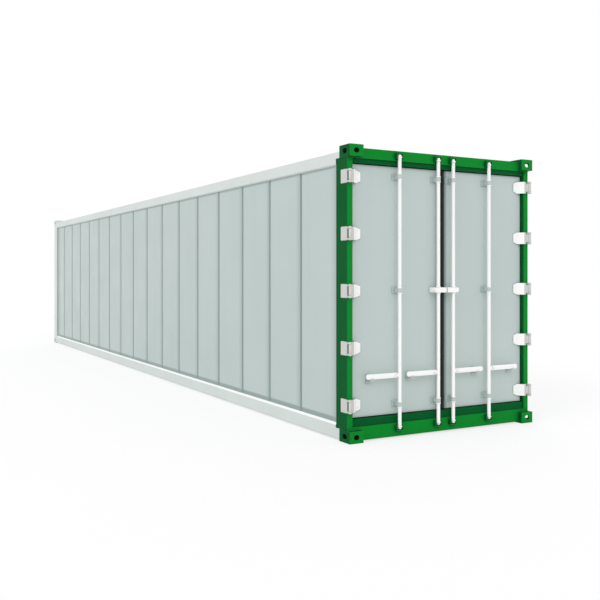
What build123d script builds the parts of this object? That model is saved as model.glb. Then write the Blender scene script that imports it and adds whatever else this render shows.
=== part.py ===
from build123d import *
import os

# A forty foot high-cube shipping container with flat pressed-joint walls.
# Millimetres, +Z up, origin on the ground under the middle of the box.
# The doors are at the +X end. Left is -Y, as seen by someone facing the doors.

# Overall box
LENGTH = 12192.0
WIDTH = 2438.0
HEIGHT = 2896.0

# Corner castings
CASTING_LENGTH = 178.0
CASTING_WIDTH = 162.0
CASTING_HEIGHT = 118.0
CASTING_WALL = 15.0
CASTING_PLATE = 28.5
TWISTLOCK_FROM_END = 103.5
TWISTLOCK_FROM_SIDE = 89.5
TWISTLOCK_SLOT_LENGTH = 124.0
TWISTLOCK_SLOT_WIDTH = 63.5
SIDE_SLOT_LENGTH = 79.5
END_SLOT_LENGTH = 63.5
LASHING_SLOT_HEIGHT = 51.0

# Door end frame
FRAME_SETBACK = 56.0
POST_INSET = 8.0
POST_INNER_EDGE = 73.0
POST_DEPTH = 190.0
POST_WALL = 8.0
STOP_WIDTH = 20.0
STOP_DEPTH = 44.0
HEADER_DROP = 24.0
HEADER_FACE_HEIGHT = 101.0
HEADER_LIP_HEIGHT = 45.0
LIP_SETBACK = 14.0
BEAM_WALL = 6.0
SILL_BOTTOM = 12.0
SILL_FACE_HEIGHT = 136.0
THRESHOLD_HEIGHT = 74.0

# Front end frame
FRONT_FRAME_INSET = 6.0
FRONT_POST_WIDTH = 92.0
FRONT_POST_LENGTH = 250.0
FRONT_RAIL_DEPTH = 60.0

# Side rails
RAIL_INSET = 3.0
RAIL_PLATE = 5.0
BOTTOM_RAIL_BOTTOM = 14.0
BOTTOM_RAIL_TOP = 170.0
BOTTOM_RAIL_FLANGE = 48.0
BOTTOM_RAIL_WASH = 22.0
TOP_RAIL_DROP = 54.0
TOP_RAIL_HEIGHT = 130.0
TOP_RAIL_WIDTH = 60.0
TOP_RAIL_CHAMFER = 14.0

# Pressed wall sheets
SHEET = 2.0
WALL_RECESS = 20.0
SIDE_BAYS = 17
FRONT_BAYS = 3
JOINT_MOUTH = 52.0
JOINT_FLOOR = 28.0
JOINT_DEPTH = 18.0
ROOF_DROP = 10.0
ROOF_JOINT_MOUTH = 120.0
ROOF_JOINT_FLOOR = 60.0
ROOF_JOINT_DEPTH = 14.0

# Floor
FLOOR_TOP = 216.0
FLOOR_THICKNESS = 28.0
CROSSMEMBER_HEIGHT = 160.0
CROSSMEMBER_WIDTH = 45.0
CROSSMEMBER_PLATE = 4.0
CROSSMEMBERS_PER_BAY = 2

# Door leaves
LEAF_SETBACK = 100.0
LEAF_SKIN = 3.0
LEAF_FRAME_DEPTH = 47.0
LEAF_GAP = 10.0
LEAF_HALF_SEAM = 11.0
STILE_WIDTH = 90.0
LEAF_RAIL_HEIGHT = 120.0
MID_RAIL_HEIGHT = 60.0
MID_RAILS = 3
GASKET = 4.0
GASKET_LIP_WIDTH = 6.0
GASKET_LIP = 3.0

# Hinges
HINGE_COUNT = 5
HINGE_MARGIN = 124.0
HINGE_HEIGHT = 128.0
PIN_SETBACK = 20.0
PIN_INSET = 18.0
PIN_RADIUS = 10.0
PIN_CLEARANCE = 0.4
KNUCKLE_RADIUS = 15.0
KNUCKLE_HEIGHT = 88.0
EAR_RADIUS = 16.0
EAR_CLEARANCE = 2.0
EAR_REACH = 36.0
BLADE_THICKNESS = 10.0
BLADE_POST_CLEARANCE = 6.0
BLADE_LENGTH_ON_LEAF = 105.0
BLADE_TIP_HEIGHT = 88.0
LUG_PLATE_LENGTH = 100.0
LUG_PLATE = 5.0

# Lock rods
ROD_RADIUS = 18.0
ROD_SETBACK = 24.0
ROD_END_CHAMFER = 7.0
ROD_TOP_DROP = 40.0
ROD_BOTTOM_RISE = 76.0
INNER_ROD_OFFSET = 100.0
ROD_MIDWAY_SHIFT = 19.0
GUIDE_CLEARANCE = 0.4
GUIDE_STRAP = 3.6
GUIDE_HEIGHT = 40.0
GUIDE_WEB = 26.0
GUIDE_PLATE = 5.0
GUIDE_PLATE_WIDTH = 84.0
GUIDE_PLATE_HEIGHT = 64.0
GUIDE_COUNT = 3
GUIDE_MARGIN = 104.0

# Cams and keepers
CAM_RADIUS = 23.0
CAM_NOSE_RADIUS = 9.0
CAM_REACH = 26.0
CAM_THICKNESS = 14.0
CAM_FROM_END = 28.0
KEEPER_GAP = 32.0
KEEPER_PLATE = 8.0
KEEPER_HEIGHT = 60.0
KEEPER_END_GAP = 8.0
KEEPER_FRONT_SETBACK = 14.0

# Handles
HANDLE_LEVEL = 630.0
HANDLE_TIP_GAP = 89.0
HANDLE_HEIGHT = 52.0
HANDLE_THICKNESS = 12.0
HANDLE_PIVOT = 44.0
HANDLE_PIN_RADIUS = 6.0
HUB_RADIUS = 20.0
HUB_CHEEK = 5.0
HUB_CLEARANCE = 1.0
CATCH_FROM_TIP = 70.0
CATCH_WIDTH = 40.0
CATCH_SHELF = 8.0
CATCH_CLEARANCE = 1.0
CATCH_PLATE = 6.0
CATCH_PLATE_HEIGHT = 90.0

# Centre hasp
HASP_HEIGHT = 52.0
HASP_REACH = 160.0
HASP_HALF_GAP = 9.0
HASP_DEPTH = 44.0
HASP_FRONT_SETBACK = 2.0
HASP_EYE_RADIUS = 6.0
HASP_EYE_OFFSET = 26.0
HASP_LEG = 16.0

# Worked out from the sizes above
DOOR_END = LENGTH / 2
FRONT_END = -LENGTH / 2
SIDE = WIDTH / 2
FRAME_FACE = DOOR_END - FRAME_SETBACK
POST_BACK = FRAME_FACE - POST_DEPTH
POST_INNER = SIDE - POST_INNER_EDGE
FRONT_POST_INNER = SIDE - FRONT_POST_WIDTH
HEADER_TOP = HEIGHT - HEADER_DROP
HEADER_FACE_BOTTOM = HEADER_TOP - HEADER_FACE_HEIGHT
OPENING_TOP = HEADER_FACE_BOTTOM - HEADER_LIP_HEIGHT
SILL_FACE_TOP = SILL_BOTTOM + SILL_FACE_HEIGHT
OPENING_BOTTOM = SILL_FACE_TOP + THRESHOLD_HEIGHT
CASTING_BACK = DOOR_END - CASTING_LENGTH
CASTING_INNER = SIDE - CASTING_WIDTH
UPPER_CASTING = HEIGHT - CASTING_HEIGHT
TOP_RAIL_TOP = HEIGHT - TOP_RAIL_DROP
TOP_RAIL_BOTTOM = TOP_RAIL_TOP - TOP_RAIL_HEIGHT
LEAF_FACE = DOOR_END - LEAF_SETBACK
LEAF_BACK = LEAF_FACE - LEAF_SKIN - LEAF_FRAME_DEPTH
LEAF_OUTER = POST_INNER - LEAF_GAP
LEAF_BOTTOM = OPENING_BOTTOM + LEAF_GAP
LEAF_TOP = OPENING_TOP - LEAF_GAP
PIN_X = DOOR_END - PIN_SETBACK
PIN_Y = SIDE - PIN_INSET
ROD_X = DOOR_END - ROD_SETBACK
OUTER_ROD_OFFSET = (INNER_ROD_OFFSET + LEAF_OUTER) / 2 - ROD_MIDWAY_SHIFT
HANDLE_REACH = OUTER_ROD_OFFSET - INNER_ROD_OFFSET - HANDLE_TIP_GAP
CATCH_OFFSET = HANDLE_REACH - CATCH_FROM_TIP
ROD_BOTTOM = SILL_BOTTOM + ROD_BOTTOM_RISE
ROD_TOP = HEADER_TOP - ROD_TOP_DROP
HASP_LEVEL = (LEAF_BOTTOM + LEAF_TOP) / 2
FRONT_CASTING_BACK = FRONT_END + CASTING_LENGTH
WALL_FRONT = FRONT_END + FRONT_POST_LENGTH
WALL_BACK = POST_BACK
FLOOR_UNDERSIDE = FLOOR_TOP - FLOOR_THICKNESS


def leaf_levels(count, margin):
    """Evenly spaced heights on a leaf, the first and last a margin inside its edges."""
    low = LEAF_BOTTOM + margin
    high = LEAF_TOP - margin
    return [low + (high - low) * n / (count - 1) for n in range(count)]


def block(x, y, z):
    """A plain block between a low and a high face on each axis."""
    middle = Pos((x[0] + x[1]) / 2, (y[0] + y[1]) / 2, (z[0] + z[1]) / 2)
    return middle * Box(abs(x[1] - x[0]), abs(y[1] - y[0]), abs(z[1] - z[0]))


def box_section(x, y, z, wall, along):
    """A block hollowed from end to end along one axis."""
    spans = {"x": x, "y": y, "z": z}
    hollow = {axis: (span[0] + wall, span[1] - wall) for axis, span in spans.items()}
    hollow[along] = spans[along]
    return block(x, y, z) - block(hollow["x"], hollow["y"], hollow["z"])


def upright(radius, x, y, z):
    """A round bar standing between two levels."""
    return Pos(x, y, (z[0] + z[1]) / 2) * Cylinder(radius, z[1] - z[0])


def octagon(radius):
    """Eight flats round a circle, standing square to the axes."""
    return RegularPolygon(radius, 8, major_radius=False, rotation=22.5)


def across(solid):
    """The same piece on the other side of the container."""
    return mirror(solid, about=Plane.XZ)


def folded_plate(line, thickness):
    """The outline of a plate folded along a line of points, with mitred corners."""
    points = [Vector(*p) for p in line]
    runs = [(b - a).normalized() for a, b in zip(points, points[1:])]
    normals = [Vector(-run.Y, run.X) for run in runs]
    before = [normals[0], *normals]
    after = [*normals, normals[-1]]
    mitres = [(a + b) / (1 + a.dot(b)) * (thickness / 2) for a, b in zip(before, after)]
    one_side = [p + m for p, m in zip(points, mitres)]
    other_side = [p - m for p, m in zip(points, mitres)]
    return make_face(Polyline(*one_side, *reversed(other_side), close=True))


def hollow_outline(points, wall):
    """A closed outline with straight sides, hollowed to a wall of even thickness."""
    corners = [Vector(*p) for p in points]
    following = corners[1:] + corners[:1]
    turned = sum(a.X * b.Y - b.X * a.Y for a, b in zip(corners, following))
    inward = wall if turned > 0 else -wall
    runs = [(b - a).normalized() for a, b in zip(corners, following)]
    normals = [Vector(-run.Y, run.X) for run in runs]
    mitres = [(a + b) / (1 + a.dot(b)) * inward for a, b in zip(normals[-1:] + normals, normals)]
    inner = [p + m for p, m in zip(corners, mitres)]
    return make_face(Polyline(*corners, close=True)) - make_face(Polyline(*inner, close=True))


def pressed_line(start, end, bays, mouth, floor, depth):
    """The middle line of a flat sheet with a pressed joint between each two bays."""
    bay = (end - start) / bays
    line = [(start, 0.0)]
    for joint in range(1, bays):
        middle = start + joint * bay
        line += [
            (middle - mouth / 2, 0.0),
            (middle - floor / 2, depth),
            (middle + floor / 2, depth),
            (middle + mouth / 2, 0.0),
        ]
    return [*line, (end, 0.0)]


def pressed_sheet(start, end, bays, mouth, floor, depth, height):
    """A pressed sheet lying along X, joints towards +Y, standing from level 0 to its height."""
    line = pressed_line(start, end, bays, mouth, floor, depth)
    middle = [(x, y + SHEET / 2) for x, y in line]
    return extrude(folded_plate(middle, SHEET), height)


def slot_cut(plane, length, width, depth):
    """A round-ended hole through a wall, centred on the plane's origin."""
    return extrude(plane * SlotOverall(length, width), depth, both=True)


def corner_casting():
    """The lower left casting at the door end: a hollow block with three holes."""
    body = block((CASTING_BACK, DOOR_END), (-SIDE, -CASTING_INNER), (0, CASTING_HEIGHT))
    hollow = block(
        (CASTING_BACK + CASTING_WALL, DOOR_END - CASTING_WALL),
        (-SIDE + CASTING_WALL, -CASTING_INNER - CASTING_WALL),
        (CASTING_PLATE, CASTING_HEIGHT - CASTING_WALL),
    )
    twistlock = Plane(
        origin=(DOOR_END - TWISTLOCK_FROM_END, -SIDE + TWISTLOCK_FROM_SIDE, CASTING_PLATE / 2),
        x_dir=(1, 0, 0),
        z_dir=(0, 0, 1),
    )
    side = Plane(
        origin=(DOOR_END - CASTING_LENGTH / 2, -SIDE + CASTING_WALL / 2, CASTING_HEIGHT / 2),
        x_dir=(1, 0, 0),
        z_dir=(0, -1, 0),
    )
    end = Plane(
        origin=(DOOR_END - CASTING_WALL / 2, -SIDE + CASTING_WIDTH / 2, CASTING_HEIGHT / 2),
        x_dir=(0, 1, 0),
        z_dir=(1, 0, 0),
    )
    body -= hollow
    body -= slot_cut(twistlock, TWISTLOCK_SLOT_LENGTH, TWISTLOCK_SLOT_WIDTH, CASTING_PLATE)
    body -= slot_cut(side, SIDE_SLOT_LENGTH, LASHING_SLOT_HEIGHT, CASTING_WALL)
    body -= slot_cut(end, END_SLOT_LENGTH, LASHING_SLOT_HEIGHT, CASTING_WALL)
    return body


def castings(at_front, at_top):
    """The pair of castings at one end and one level."""
    one = corner_casting()
    if at_top:
        one = Pos(0, 0, HEIGHT) * mirror(one, about=Plane.XY)
    if at_front:
        one = mirror(one, about=Plane.YZ)
    return [one, across(one)]


def door_post():
    """The left post at the door end, a box section with a stop behind the leaf."""
    y = (-SIDE + POST_INSET, -POST_INNER)
    post = box_section((POST_BACK, FRAME_FACE), y, (CASTING_HEIGHT, UPPER_CASTING), POST_WALL, "z")
    stop = block(
        (POST_BACK, POST_BACK + STOP_DEPTH),
        (-POST_INNER, -POST_INNER + STOP_WIDTH),
        (OPENING_BOTTOM, OPENING_TOP),
    )
    return post + stop


def casting_spaces():
    """The space that the left castings at the door end fill, ready to cut from a beam."""
    x = (CASTING_BACK, DOOR_END)
    y = (-SIDE, -CASTING_INNER)
    return block(x, y, (0, CASTING_HEIGHT)) + block(x, y, (UPPER_CASTING, HEIGHT))


def door_beam(profile):
    """A beam across the door end, between the posts and trimmed round the castings."""
    beam = extrude(Plane.XZ * hollow_outline(profile, BEAM_WALL), POST_INNER, both=True)
    return beam - casting_spaces() - across(casting_spaces())


def door_header():
    """The beam over the doors, with a set-back lip and a stop behind the leaves."""
    lip = FRAME_FACE - LIP_SETBACK
    profile = [
        (CASTING_BACK, HEADER_TOP),
        (FRAME_FACE, HEADER_TOP),
        (FRAME_FACE, HEADER_FACE_BOTTOM),
        (lip, HEADER_FACE_BOTTOM),
        (lip, OPENING_TOP),
        (POST_BACK, OPENING_TOP),
        (POST_BACK, UPPER_CASTING),
        (CASTING_BACK, UPPER_CASTING),
    ]
    stop = block(
        (POST_BACK, POST_BACK + STOP_DEPTH),
        (-POST_INNER + STOP_WIDTH, POST_INNER - STOP_WIDTH),
        (OPENING_TOP - STOP_WIDTH, OPENING_TOP),
    )
    return door_beam(profile) + stop


def door_sill():
    """The beam under the doors, with a set-back threshold."""
    lip = FRAME_FACE - LIP_SETBACK
    profile = [
        (CASTING_BACK, SILL_BOTTOM),
        (FRAME_FACE, SILL_BOTTOM),
        (FRAME_FACE, SILL_FACE_TOP),
        (lip, SILL_FACE_TOP),
        (lip, OPENING_BOTTOM),
        (POST_BACK, OPENING_BOTTOM),
        (POST_BACK, CASTING_HEIGHT),
        (CASTING_BACK, CASTING_HEIGHT),
    ]
    return door_beam(profile)


def front_post():
    """The left post at the front end, a box section."""
    x = (FRONT_END + FRONT_FRAME_INSET, WALL_FRONT)
    y = (-SIDE + RAIL_INSET, -FRONT_POST_INNER)
    return box_section(x, y, (CASTING_HEIGHT, UPPER_CASTING), POST_WALL, "z")


def front_beam(z):
    """A box section across the front end, trimmed round the castings."""
    face = FRONT_END + FRONT_FRAME_INSET
    x = (face, face + FRONT_RAIL_DEPTH)
    beam = box_section(x, (-FRONT_POST_INNER, FRONT_POST_INNER), z, BEAM_WALL, "y")
    spaces = mirror(casting_spaces(), about=Plane.YZ)
    return beam - spaces - across(spaces)


def front_header():
    """The beam across the top of the front end."""
    return front_beam((TOP_RAIL_BOTTOM, HEADER_TOP))


def front_sill():
    """The beam across the bottom of the front end, which carries the floor's edge."""
    return front_beam((SILL_BOTTOM, FLOOR_UNDERSIDE))


def bottom_rail():
    """The left bottom rail: a folded channel open to the inside, with a sloping top."""
    outer = -SIDE + RAIL_INSET + RAIL_PLATE / 2
    inner = -SIDE + BOTTOM_RAIL_FLANGE
    low = BOTTOM_RAIL_BOTTOM + RAIL_PLATE / 2
    high = BOTTOM_RAIL_TOP - RAIL_PLATE / 2
    line = [
        (inner, low),
        (outer, low),
        (outer, high - BOTTOM_RAIL_WASH),
        (-SIDE + WALL_RECESS, high),
        (inner, high),
    ]
    section = Plane.YZ * folded_plate(line, RAIL_PLATE)
    rail = Pos(FRONT_CASTING_BACK, 0, 0) * extrude(section, CASTING_BACK - FRONT_CASTING_BACK)
    z = (CASTING_HEIGHT, HEIGHT)
    return rail - block((WALL_BACK, DOOR_END), (-SIDE, 0), z) - block((FRONT_END, WALL_FRONT), (-SIDE, 0), z)


def top_rail():
    """The left top rail, a box section chamfered along its lower outer edge."""
    outer = -SIDE + RAIL_INSET
    inner = outer + TOP_RAIL_WIDTH
    outline = [
        (outer, TOP_RAIL_TOP),
        (outer, TOP_RAIL_BOTTOM + TOP_RAIL_CHAMFER),
        (-SIDE + WALL_RECESS, TOP_RAIL_BOTTOM),
        (inner, TOP_RAIL_BOTTOM),
        (inner, TOP_RAIL_TOP),
    ]
    section = Plane.YZ * hollow_outline(outline, RAIL_PLATE)
    rail = Pos(FRONT_CASTING_BACK, 0, 0) * extrude(section, CASTING_BACK - FRONT_CASTING_BACK)
    z = (0, UPPER_CASTING)
    return rail - block((WALL_BACK, DOOR_END), (-SIDE, 0), z) - block((FRONT_END, WALL_FRONT), (-SIDE, 0), z)


def side_wall():
    """The left wall: flat bays between pressed joints."""
    height = TOP_RAIL_BOTTOM - BOTTOM_RAIL_TOP
    sheet = pressed_sheet(WALL_FRONT, WALL_BACK, SIDE_BAYS, JOINT_MOUTH, JOINT_FLOOR, JOINT_DEPTH, height)
    return Pos(0, -SIDE + WALL_RECESS, BOTTOM_RAIL_TOP) * sheet


def front_wall():
    """The wall across the front end, with the same pressed joints."""
    edge = FRONT_POST_INNER
    height = TOP_RAIL_BOTTOM - FLOOR_UNDERSIDE
    sheet = pressed_sheet(-edge, edge, FRONT_BAYS, JOINT_MOUTH, JOINT_FLOOR, JOINT_DEPTH, height)
    return Pos(FRONT_END + WALL_RECESS, 0, FLOOR_UNDERSIDE) * Rot(0, 0, -90) * sheet


def roof():
    """The roof sheet between the top rails, with shallow pressed joints across it."""
    start = FRONT_END + FRONT_FRAME_INSET + FRONT_RAIL_DEPTH
    edge = SIDE - RAIL_INSET - TOP_RAIL_WIDTH
    joint = (ROOF_JOINT_MOUTH, ROOF_JOINT_FLOOR, ROOF_JOINT_DEPTH)
    line = pressed_line(start, CASTING_BACK, SIDE_BAYS, *joint)
    top = TOP_RAIL_TOP - ROOF_DROP
    middle = [(x, top - SHEET / 2 - y) for x, y in line]
    sheet = extrude(Plane.XZ * folded_plate(middle, SHEET), edge, both=True)
    corner = block((FRONT_END, FRONT_CASTING_BACK), (CASTING_INNER, SIDE), (UPPER_CASTING, HEIGHT))
    return sheet - corner - across(corner)


def floor_deck():
    """The board floor between the bottom rails."""
    front = FRONT_END + WALL_RECESS + JOINT_DEPTH + SHEET
    wide = SIDE - BOTTOM_RAIL_FLANGE
    z = (FLOOR_UNDERSIDE, FLOOR_TOP)
    boards = block((WALL_FRONT, POST_BACK), (-wide, wide), z)
    return boards + block((front, WALL_FRONT), (-FRONT_POST_INNER, FRONT_POST_INNER), z)


def crossmembers():
    """Channel beams under the floor, with ends notched to fit inside the bottom rails."""
    edge = SIDE - RAIL_INSET - RAIL_PLATE
    low = FLOOR_UNDERSIDE - CROSSMEMBER_HEIGHT
    plate = CROSSMEMBER_PLATE / 2
    line = [
        (CROSSMEMBER_WIDTH, low + plate),
        (plate, low + plate),
        (plate, FLOOR_UNDERSIDE - plate),
        (CROSSMEMBER_WIDTH, FLOOR_UNDERSIDE - plate),
    ]
    beam = extrude(Plane.XZ * folded_plate(line, CROSSMEMBER_PLATE), edge, both=True)
    notch_bottom = BOTTOM_RAIL_TOP - BOTTOM_RAIL_WASH - 2 * RAIL_PLATE
    y = (-SIDE, -SIDE + BOTTOM_RAIL_FLANGE)
    notch = block((0, CROSSMEMBER_WIDTH), y, (notch_bottom, FLOOR_UNDERSIDE))
    beam = beam - notch - across(notch)
    count = SIDE_BAYS * CROSSMEMBERS_PER_BAY - 1
    step = (WALL_BACK - WALL_FRONT) / (count + 1)
    return [Pos(WALL_FRONT + step * (n + 1) - CROSSMEMBER_WIDTH / 2, 0, 0) * beam for n in range(count)]


def hinge_lug(level):
    """One fixed hinge half: a plate wrapped on the post's side, two ears and the pin."""
    half = HINGE_HEIGHT / 2
    ear_low = KNUCKLE_HEIGHT / 2 + EAR_CLEARANCE
    ear_plan = Pos(PIN_X, -PIN_Y) * octagon(EAR_RADIUS)
    ear_plan += make_face(
        Polyline(
            (FRAME_FACE, -SIDE + POST_INSET),
            (FRAME_FACE, -SIDE + EAR_REACH),
            (PIN_X, -PIN_Y + EAR_RADIUS),
            (PIN_X, -PIN_Y - EAR_RADIUS),
            close=True,
        )
    )
    ear = extrude(ear_plan, half - ear_low)
    outside = -SIDE + POST_INSET - LUG_PLATE
    plate = block(
        (FRAME_FACE - LUG_PLATE_LENGTH, FRAME_FACE),
        (outside, -SIDE + POST_INSET),
        (level - half, level + half),
    )
    bridge = block(
        (FRAME_FACE, FRAME_FACE + LUG_PLATE),
        (outside, -SIDE + POST_INSET + LUG_PLATE),
        (level - half, level + half),
    )
    pin = upright(PIN_RADIUS, PIN_X, -PIN_Y, (level - half, level + half))
    lug = plate + bridge + pin
    return lug + Pos(0, 0, level + ear_low) * ear + Pos(0, 0, level - half) * ear


def hinge_blade(level):
    """One moving hinge half: a knuckle and a cranked strap with a tapered tip."""
    half = HINGE_HEIGHT / 2
    strap_x = FRAME_FACE + BLADE_POST_CLEARANCE + BLADE_THICKNESS / 2
    leaf_x = LEAF_FACE + BLADE_THICKNESS / 2
    edge_y = -LEAF_OUTER
    tip_y = edge_y + BLADE_LENGTH_ON_LEAF
    crank = strap_x - leaf_x
    line = [
        (PIN_X, -PIN_Y),
        (strap_x, -PIN_Y + KNUCKLE_RADIUS + BLADE_THICKNESS),
        (strap_x, edge_y),
        (leaf_x, edge_y + crank),
        (leaf_x, tip_y),
    ]
    strap = Pos(0, 0, level - half) * extrude(folded_plate(line, BLADE_THICKNESS), HINGE_HEIGHT)
    neck_y = -PIN_Y + EAR_RADIUS + EAR_REACH / 2
    neck = KNUCKLE_HEIGHT / 2
    tip = BLADE_TIP_HEIGHT / 2
    outline = [
        (-SIDE - KNUCKLE_RADIUS, -neck),
        (neck_y, -neck),
        (neck_y, -half),
        (edge_y + crank, -half),
        (tip_y, -tip),
        (tip_y, tip),
        (edge_y + crank, half),
        (neck_y, half),
        (neck_y, neck),
        (-SIDE - KNUCKLE_RADIUS, neck),
    ]
    shape = Plane.YZ * make_face(Polyline(*outline, close=True))
    strap &= Pos(LEAF_BACK, 0, level) * extrude(shape, LENGTH - LEAF_BACK)
    knuckle = upright(KNUCKLE_RADIUS, PIN_X, -PIN_Y, (level - neck, level + neck))
    bore = upright(PIN_RADIUS + PIN_CLEARANCE, PIN_X, -PIN_Y, (level - half, level + half))
    return strap + knuckle - bore


def leaf_frame():
    """The left leaf's frame of stiles and rails, behind its skin."""
    x = (LEAF_BACK, LEAF_BACK + LEAF_FRAME_DEPTH)
    frame = block(x, (-LEAF_OUTER, -LEAF_HALF_SEAM), (LEAF_BOTTOM, LEAF_TOP))
    inner_y = (-LEAF_OUTER + STILE_WIDTH, -LEAF_HALF_SEAM - STILE_WIDTH)
    low = LEAF_BOTTOM + LEAF_RAIL_HEIGHT
    high = LEAF_TOP - LEAF_RAIL_HEIGHT
    panel = (high - low - MID_RAILS * MID_RAIL_HEIGHT) / (MID_RAILS + 1)
    for n in range(MID_RAILS + 1):
        bottom = low + n * (panel + MID_RAIL_HEIGHT)
        frame -= block(x, inner_y, (bottom, bottom + panel))
    return frame


def leaf_skin():
    """The left leaf's flat outer sheet."""
    x = (LEAF_FACE - LEAF_SKIN, LEAF_FACE)
    return block(x, (-LEAF_OUTER, -LEAF_HALF_SEAM), (LEAF_BOTTOM, LEAF_TOP))


def leaf_gasket():
    """The rubber seal round the left leaf's edge, with a lip on its face at the seam."""
    x = (LEAF_BACK, LEAF_FACE)
    y = (-LEAF_OUTER, -LEAF_HALF_SEAM)
    z = (LEAF_BOTTOM, LEAF_TOP)
    reach = (z[0] - GASKET, z[1] + GASKET)
    ring = block(x, (y[0] - GASKET, y[1] + GASKET), reach) - block(x, y, z)
    lip = block((LEAF_FACE, LEAF_FACE + GASKET_LIP), (y[1] - GASKET_LIP_WIDTH, y[1] + GASKET), reach)
    return ring + lip


def lock_rod(offset):
    """One left lock rod with its cams and the hub that carries the handle."""
    y = -offset
    rod = upright(ROD_RADIUS, ROD_X, y, (ROD_BOTTOM, ROD_TOP))
    rod = chamfer(rod.edges().filter_by(GeomType.CIRCLE), ROD_END_CHAMFER)
    cam_plan = octagon(CAM_RADIUS) + Pos(-(CAM_REACH - CAM_NOSE_RADIUS), 0) * octagon(CAM_NOSE_RADIUS)
    cam = extrude(cam_plan, CAM_THICKNESS / 2, both=True)
    for level in (ROD_BOTTOM + CAM_FROM_END, ROD_TOP - CAM_FROM_END):
        rod += Pos(ROD_X, y, level) * cam
    near = HANDLE_THICKNESS / 2 + HUB_CLEARANCE
    pivot_y = y - HANDLE_PIVOT
    cheek_plan = Pos(pivot_y, HANDLE_LEVEL) * octagon(HUB_RADIUS)
    cheek_plan += Pos((pivot_y + y) / 2, HANDLE_LEVEL) * Rectangle(HANDLE_PIVOT, 2 * HUB_RADIUS)
    cheek = extrude(Plane.YZ * cheek_plan, HUB_CHEEK)
    rod += Pos(ROD_X + near, 0, 0) * cheek
    rod += Pos(ROD_X - near - HUB_CHEEK, 0, 0) * cheek
    pin = Rot(0, 90, 0) * Cylinder(HANDLE_PIN_RADIUS, 2 * (near + HUB_CHEEK))
    return rod + Pos(ROD_X, pivot_y, HANDLE_LEVEL) * pin


def handle(offset):
    """One left handle, a flat bar that hangs on the rod's hub."""
    length = HANDLE_REACH - HANDLE_PIVOT + HANDLE_HEIGHT / 2
    middle = -offset - HANDLE_PIVOT + HANDLE_HEIGHT / 2 - length / 2
    plan = Pos(middle, HANDLE_LEVEL) * SlotOverall(length, HANDLE_HEIGHT)
    plan -= Pos(-offset - HANDLE_PIVOT, HANDLE_LEVEL) * Circle(HANDLE_PIN_RADIUS + PIN_CLEARANCE)
    return Pos(ROD_X - HANDLE_THICKNESS / 2, 0, 0) * extrude(Plane.YZ * plan, HANDLE_THICKNESS)


def handle_catch(offset):
    """The shelf on the leaf that one left handle rests on."""
    y = -offset - CATCH_OFFSET
    top = HANDLE_LEVEL - HANDLE_HEIGHT / 2 - CATCH_CLEARANCE
    side = (y - CATCH_WIDTH / 2, y + CATCH_WIDTH / 2)
    height = (top - CATCH_PLATE_HEIGHT / 2, top + CATCH_PLATE_HEIGHT / 2)
    plate = block((LEAF_FACE, LEAF_FACE + CATCH_PLATE), side, height)
    shelf = block((LEAF_FACE, ROD_X + HANDLE_THICKNESS), side, (top - CATCH_SHELF, top))
    return plate + shelf


def rod_guide(offset, level):
    """A plate on the leaf with a strap round one left rod."""
    y = -offset
    half = GUIDE_HEIGHT / 2
    bore = ROD_RADIUS + GUIDE_CLEARANCE
    plate = block(
        (LEAF_FACE, LEAF_FACE + GUIDE_PLATE),
        (y - GUIDE_PLATE_WIDTH / 2, y + GUIDE_PLATE_WIDTH / 2),
        (level - GUIDE_PLATE_HEIGHT / 2, level + GUIDE_PLATE_HEIGHT / 2),
    )
    web = block((LEAF_FACE, ROD_X), (y - GUIDE_WEB / 2, y + GUIDE_WEB / 2), (level - half, level + half))
    strap = Pos(ROD_X, y, level - half) * extrude(octagon(bore + GUIDE_STRAP), GUIDE_HEIGHT)
    return plate + web + strap - upright(bore, ROD_X, y, (level - half, level + half))


def keeper(offset, at_top):
    """The bracket on the frame that one left rod end turns into, open to the front."""
    y = -offset
    end = ROD_TOP + KEEPER_END_GAP if at_top else ROD_BOTTOM - KEEPER_END_GAP
    way = 1 if at_top else -1
    x = (FRAME_FACE, DOOR_END - KEEPER_FRONT_SETBACK)
    outer = KEEPER_GAP + KEEPER_PLATE
    far = end + way * KEEPER_PLATE
    body = block(x, (y - outer, y + outer), sorted((far, end - way * (KEEPER_HEIGHT - KEEPER_PLATE))))
    return body - block(x, (y - KEEPER_GAP, y + KEEPER_GAP), sorted((end, end - way * KEEPER_HEIGHT)))


def centre_hasp():
    """The left half of the bar across the two inner rods, bored for the rod and a seal."""
    z = (HASP_LEVEL - HASP_HEIGHT / 2, HASP_LEVEL + HASP_HEIGHT / 2)
    front = DOOR_END - HASP_FRONT_SETBACK
    back = front - HASP_DEPTH
    length = HASP_REACH - HASP_HALF_GAP
    bar = block((back, front), (-HASP_REACH, -HASP_HALF_GAP), z)
    bar = chamfer(bar.edges().filter_by(Axis.X).group_by(Axis.Y)[0], HASP_HEIGHT * 0.3)
    legs = [
        block((LEAF_FACE, back), (y - HASP_LEG / 2, y + HASP_LEG / 2), z)
        for y in (-HASP_REACH + HASP_LEG, -INNER_ROD_OFFSET + length / 2 - HASP_LEG)
    ]
    eye = upright(HASP_EYE_RADIUS, ROD_X, -HASP_EYE_OFFSET, z)
    bore = upright(ROD_RADIUS + GUIDE_CLEARANCE, ROD_X, -INNER_ROD_OFFSET, z)
    return bar + legs - eye - bore


def rod_guides():
    """The left leaf's guides. The hasp takes the place of the inner rod's middle one."""
    levels = leaf_levels(GUIDE_COUNT, GUIDE_MARGIN)
    outer = [rod_guide(OUTER_ROD_OFFSET, level) for level in levels]
    return outer + [rod_guide(INNER_ROD_OFFSET, level) for level in (levels[0], levels[-1])]


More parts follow.
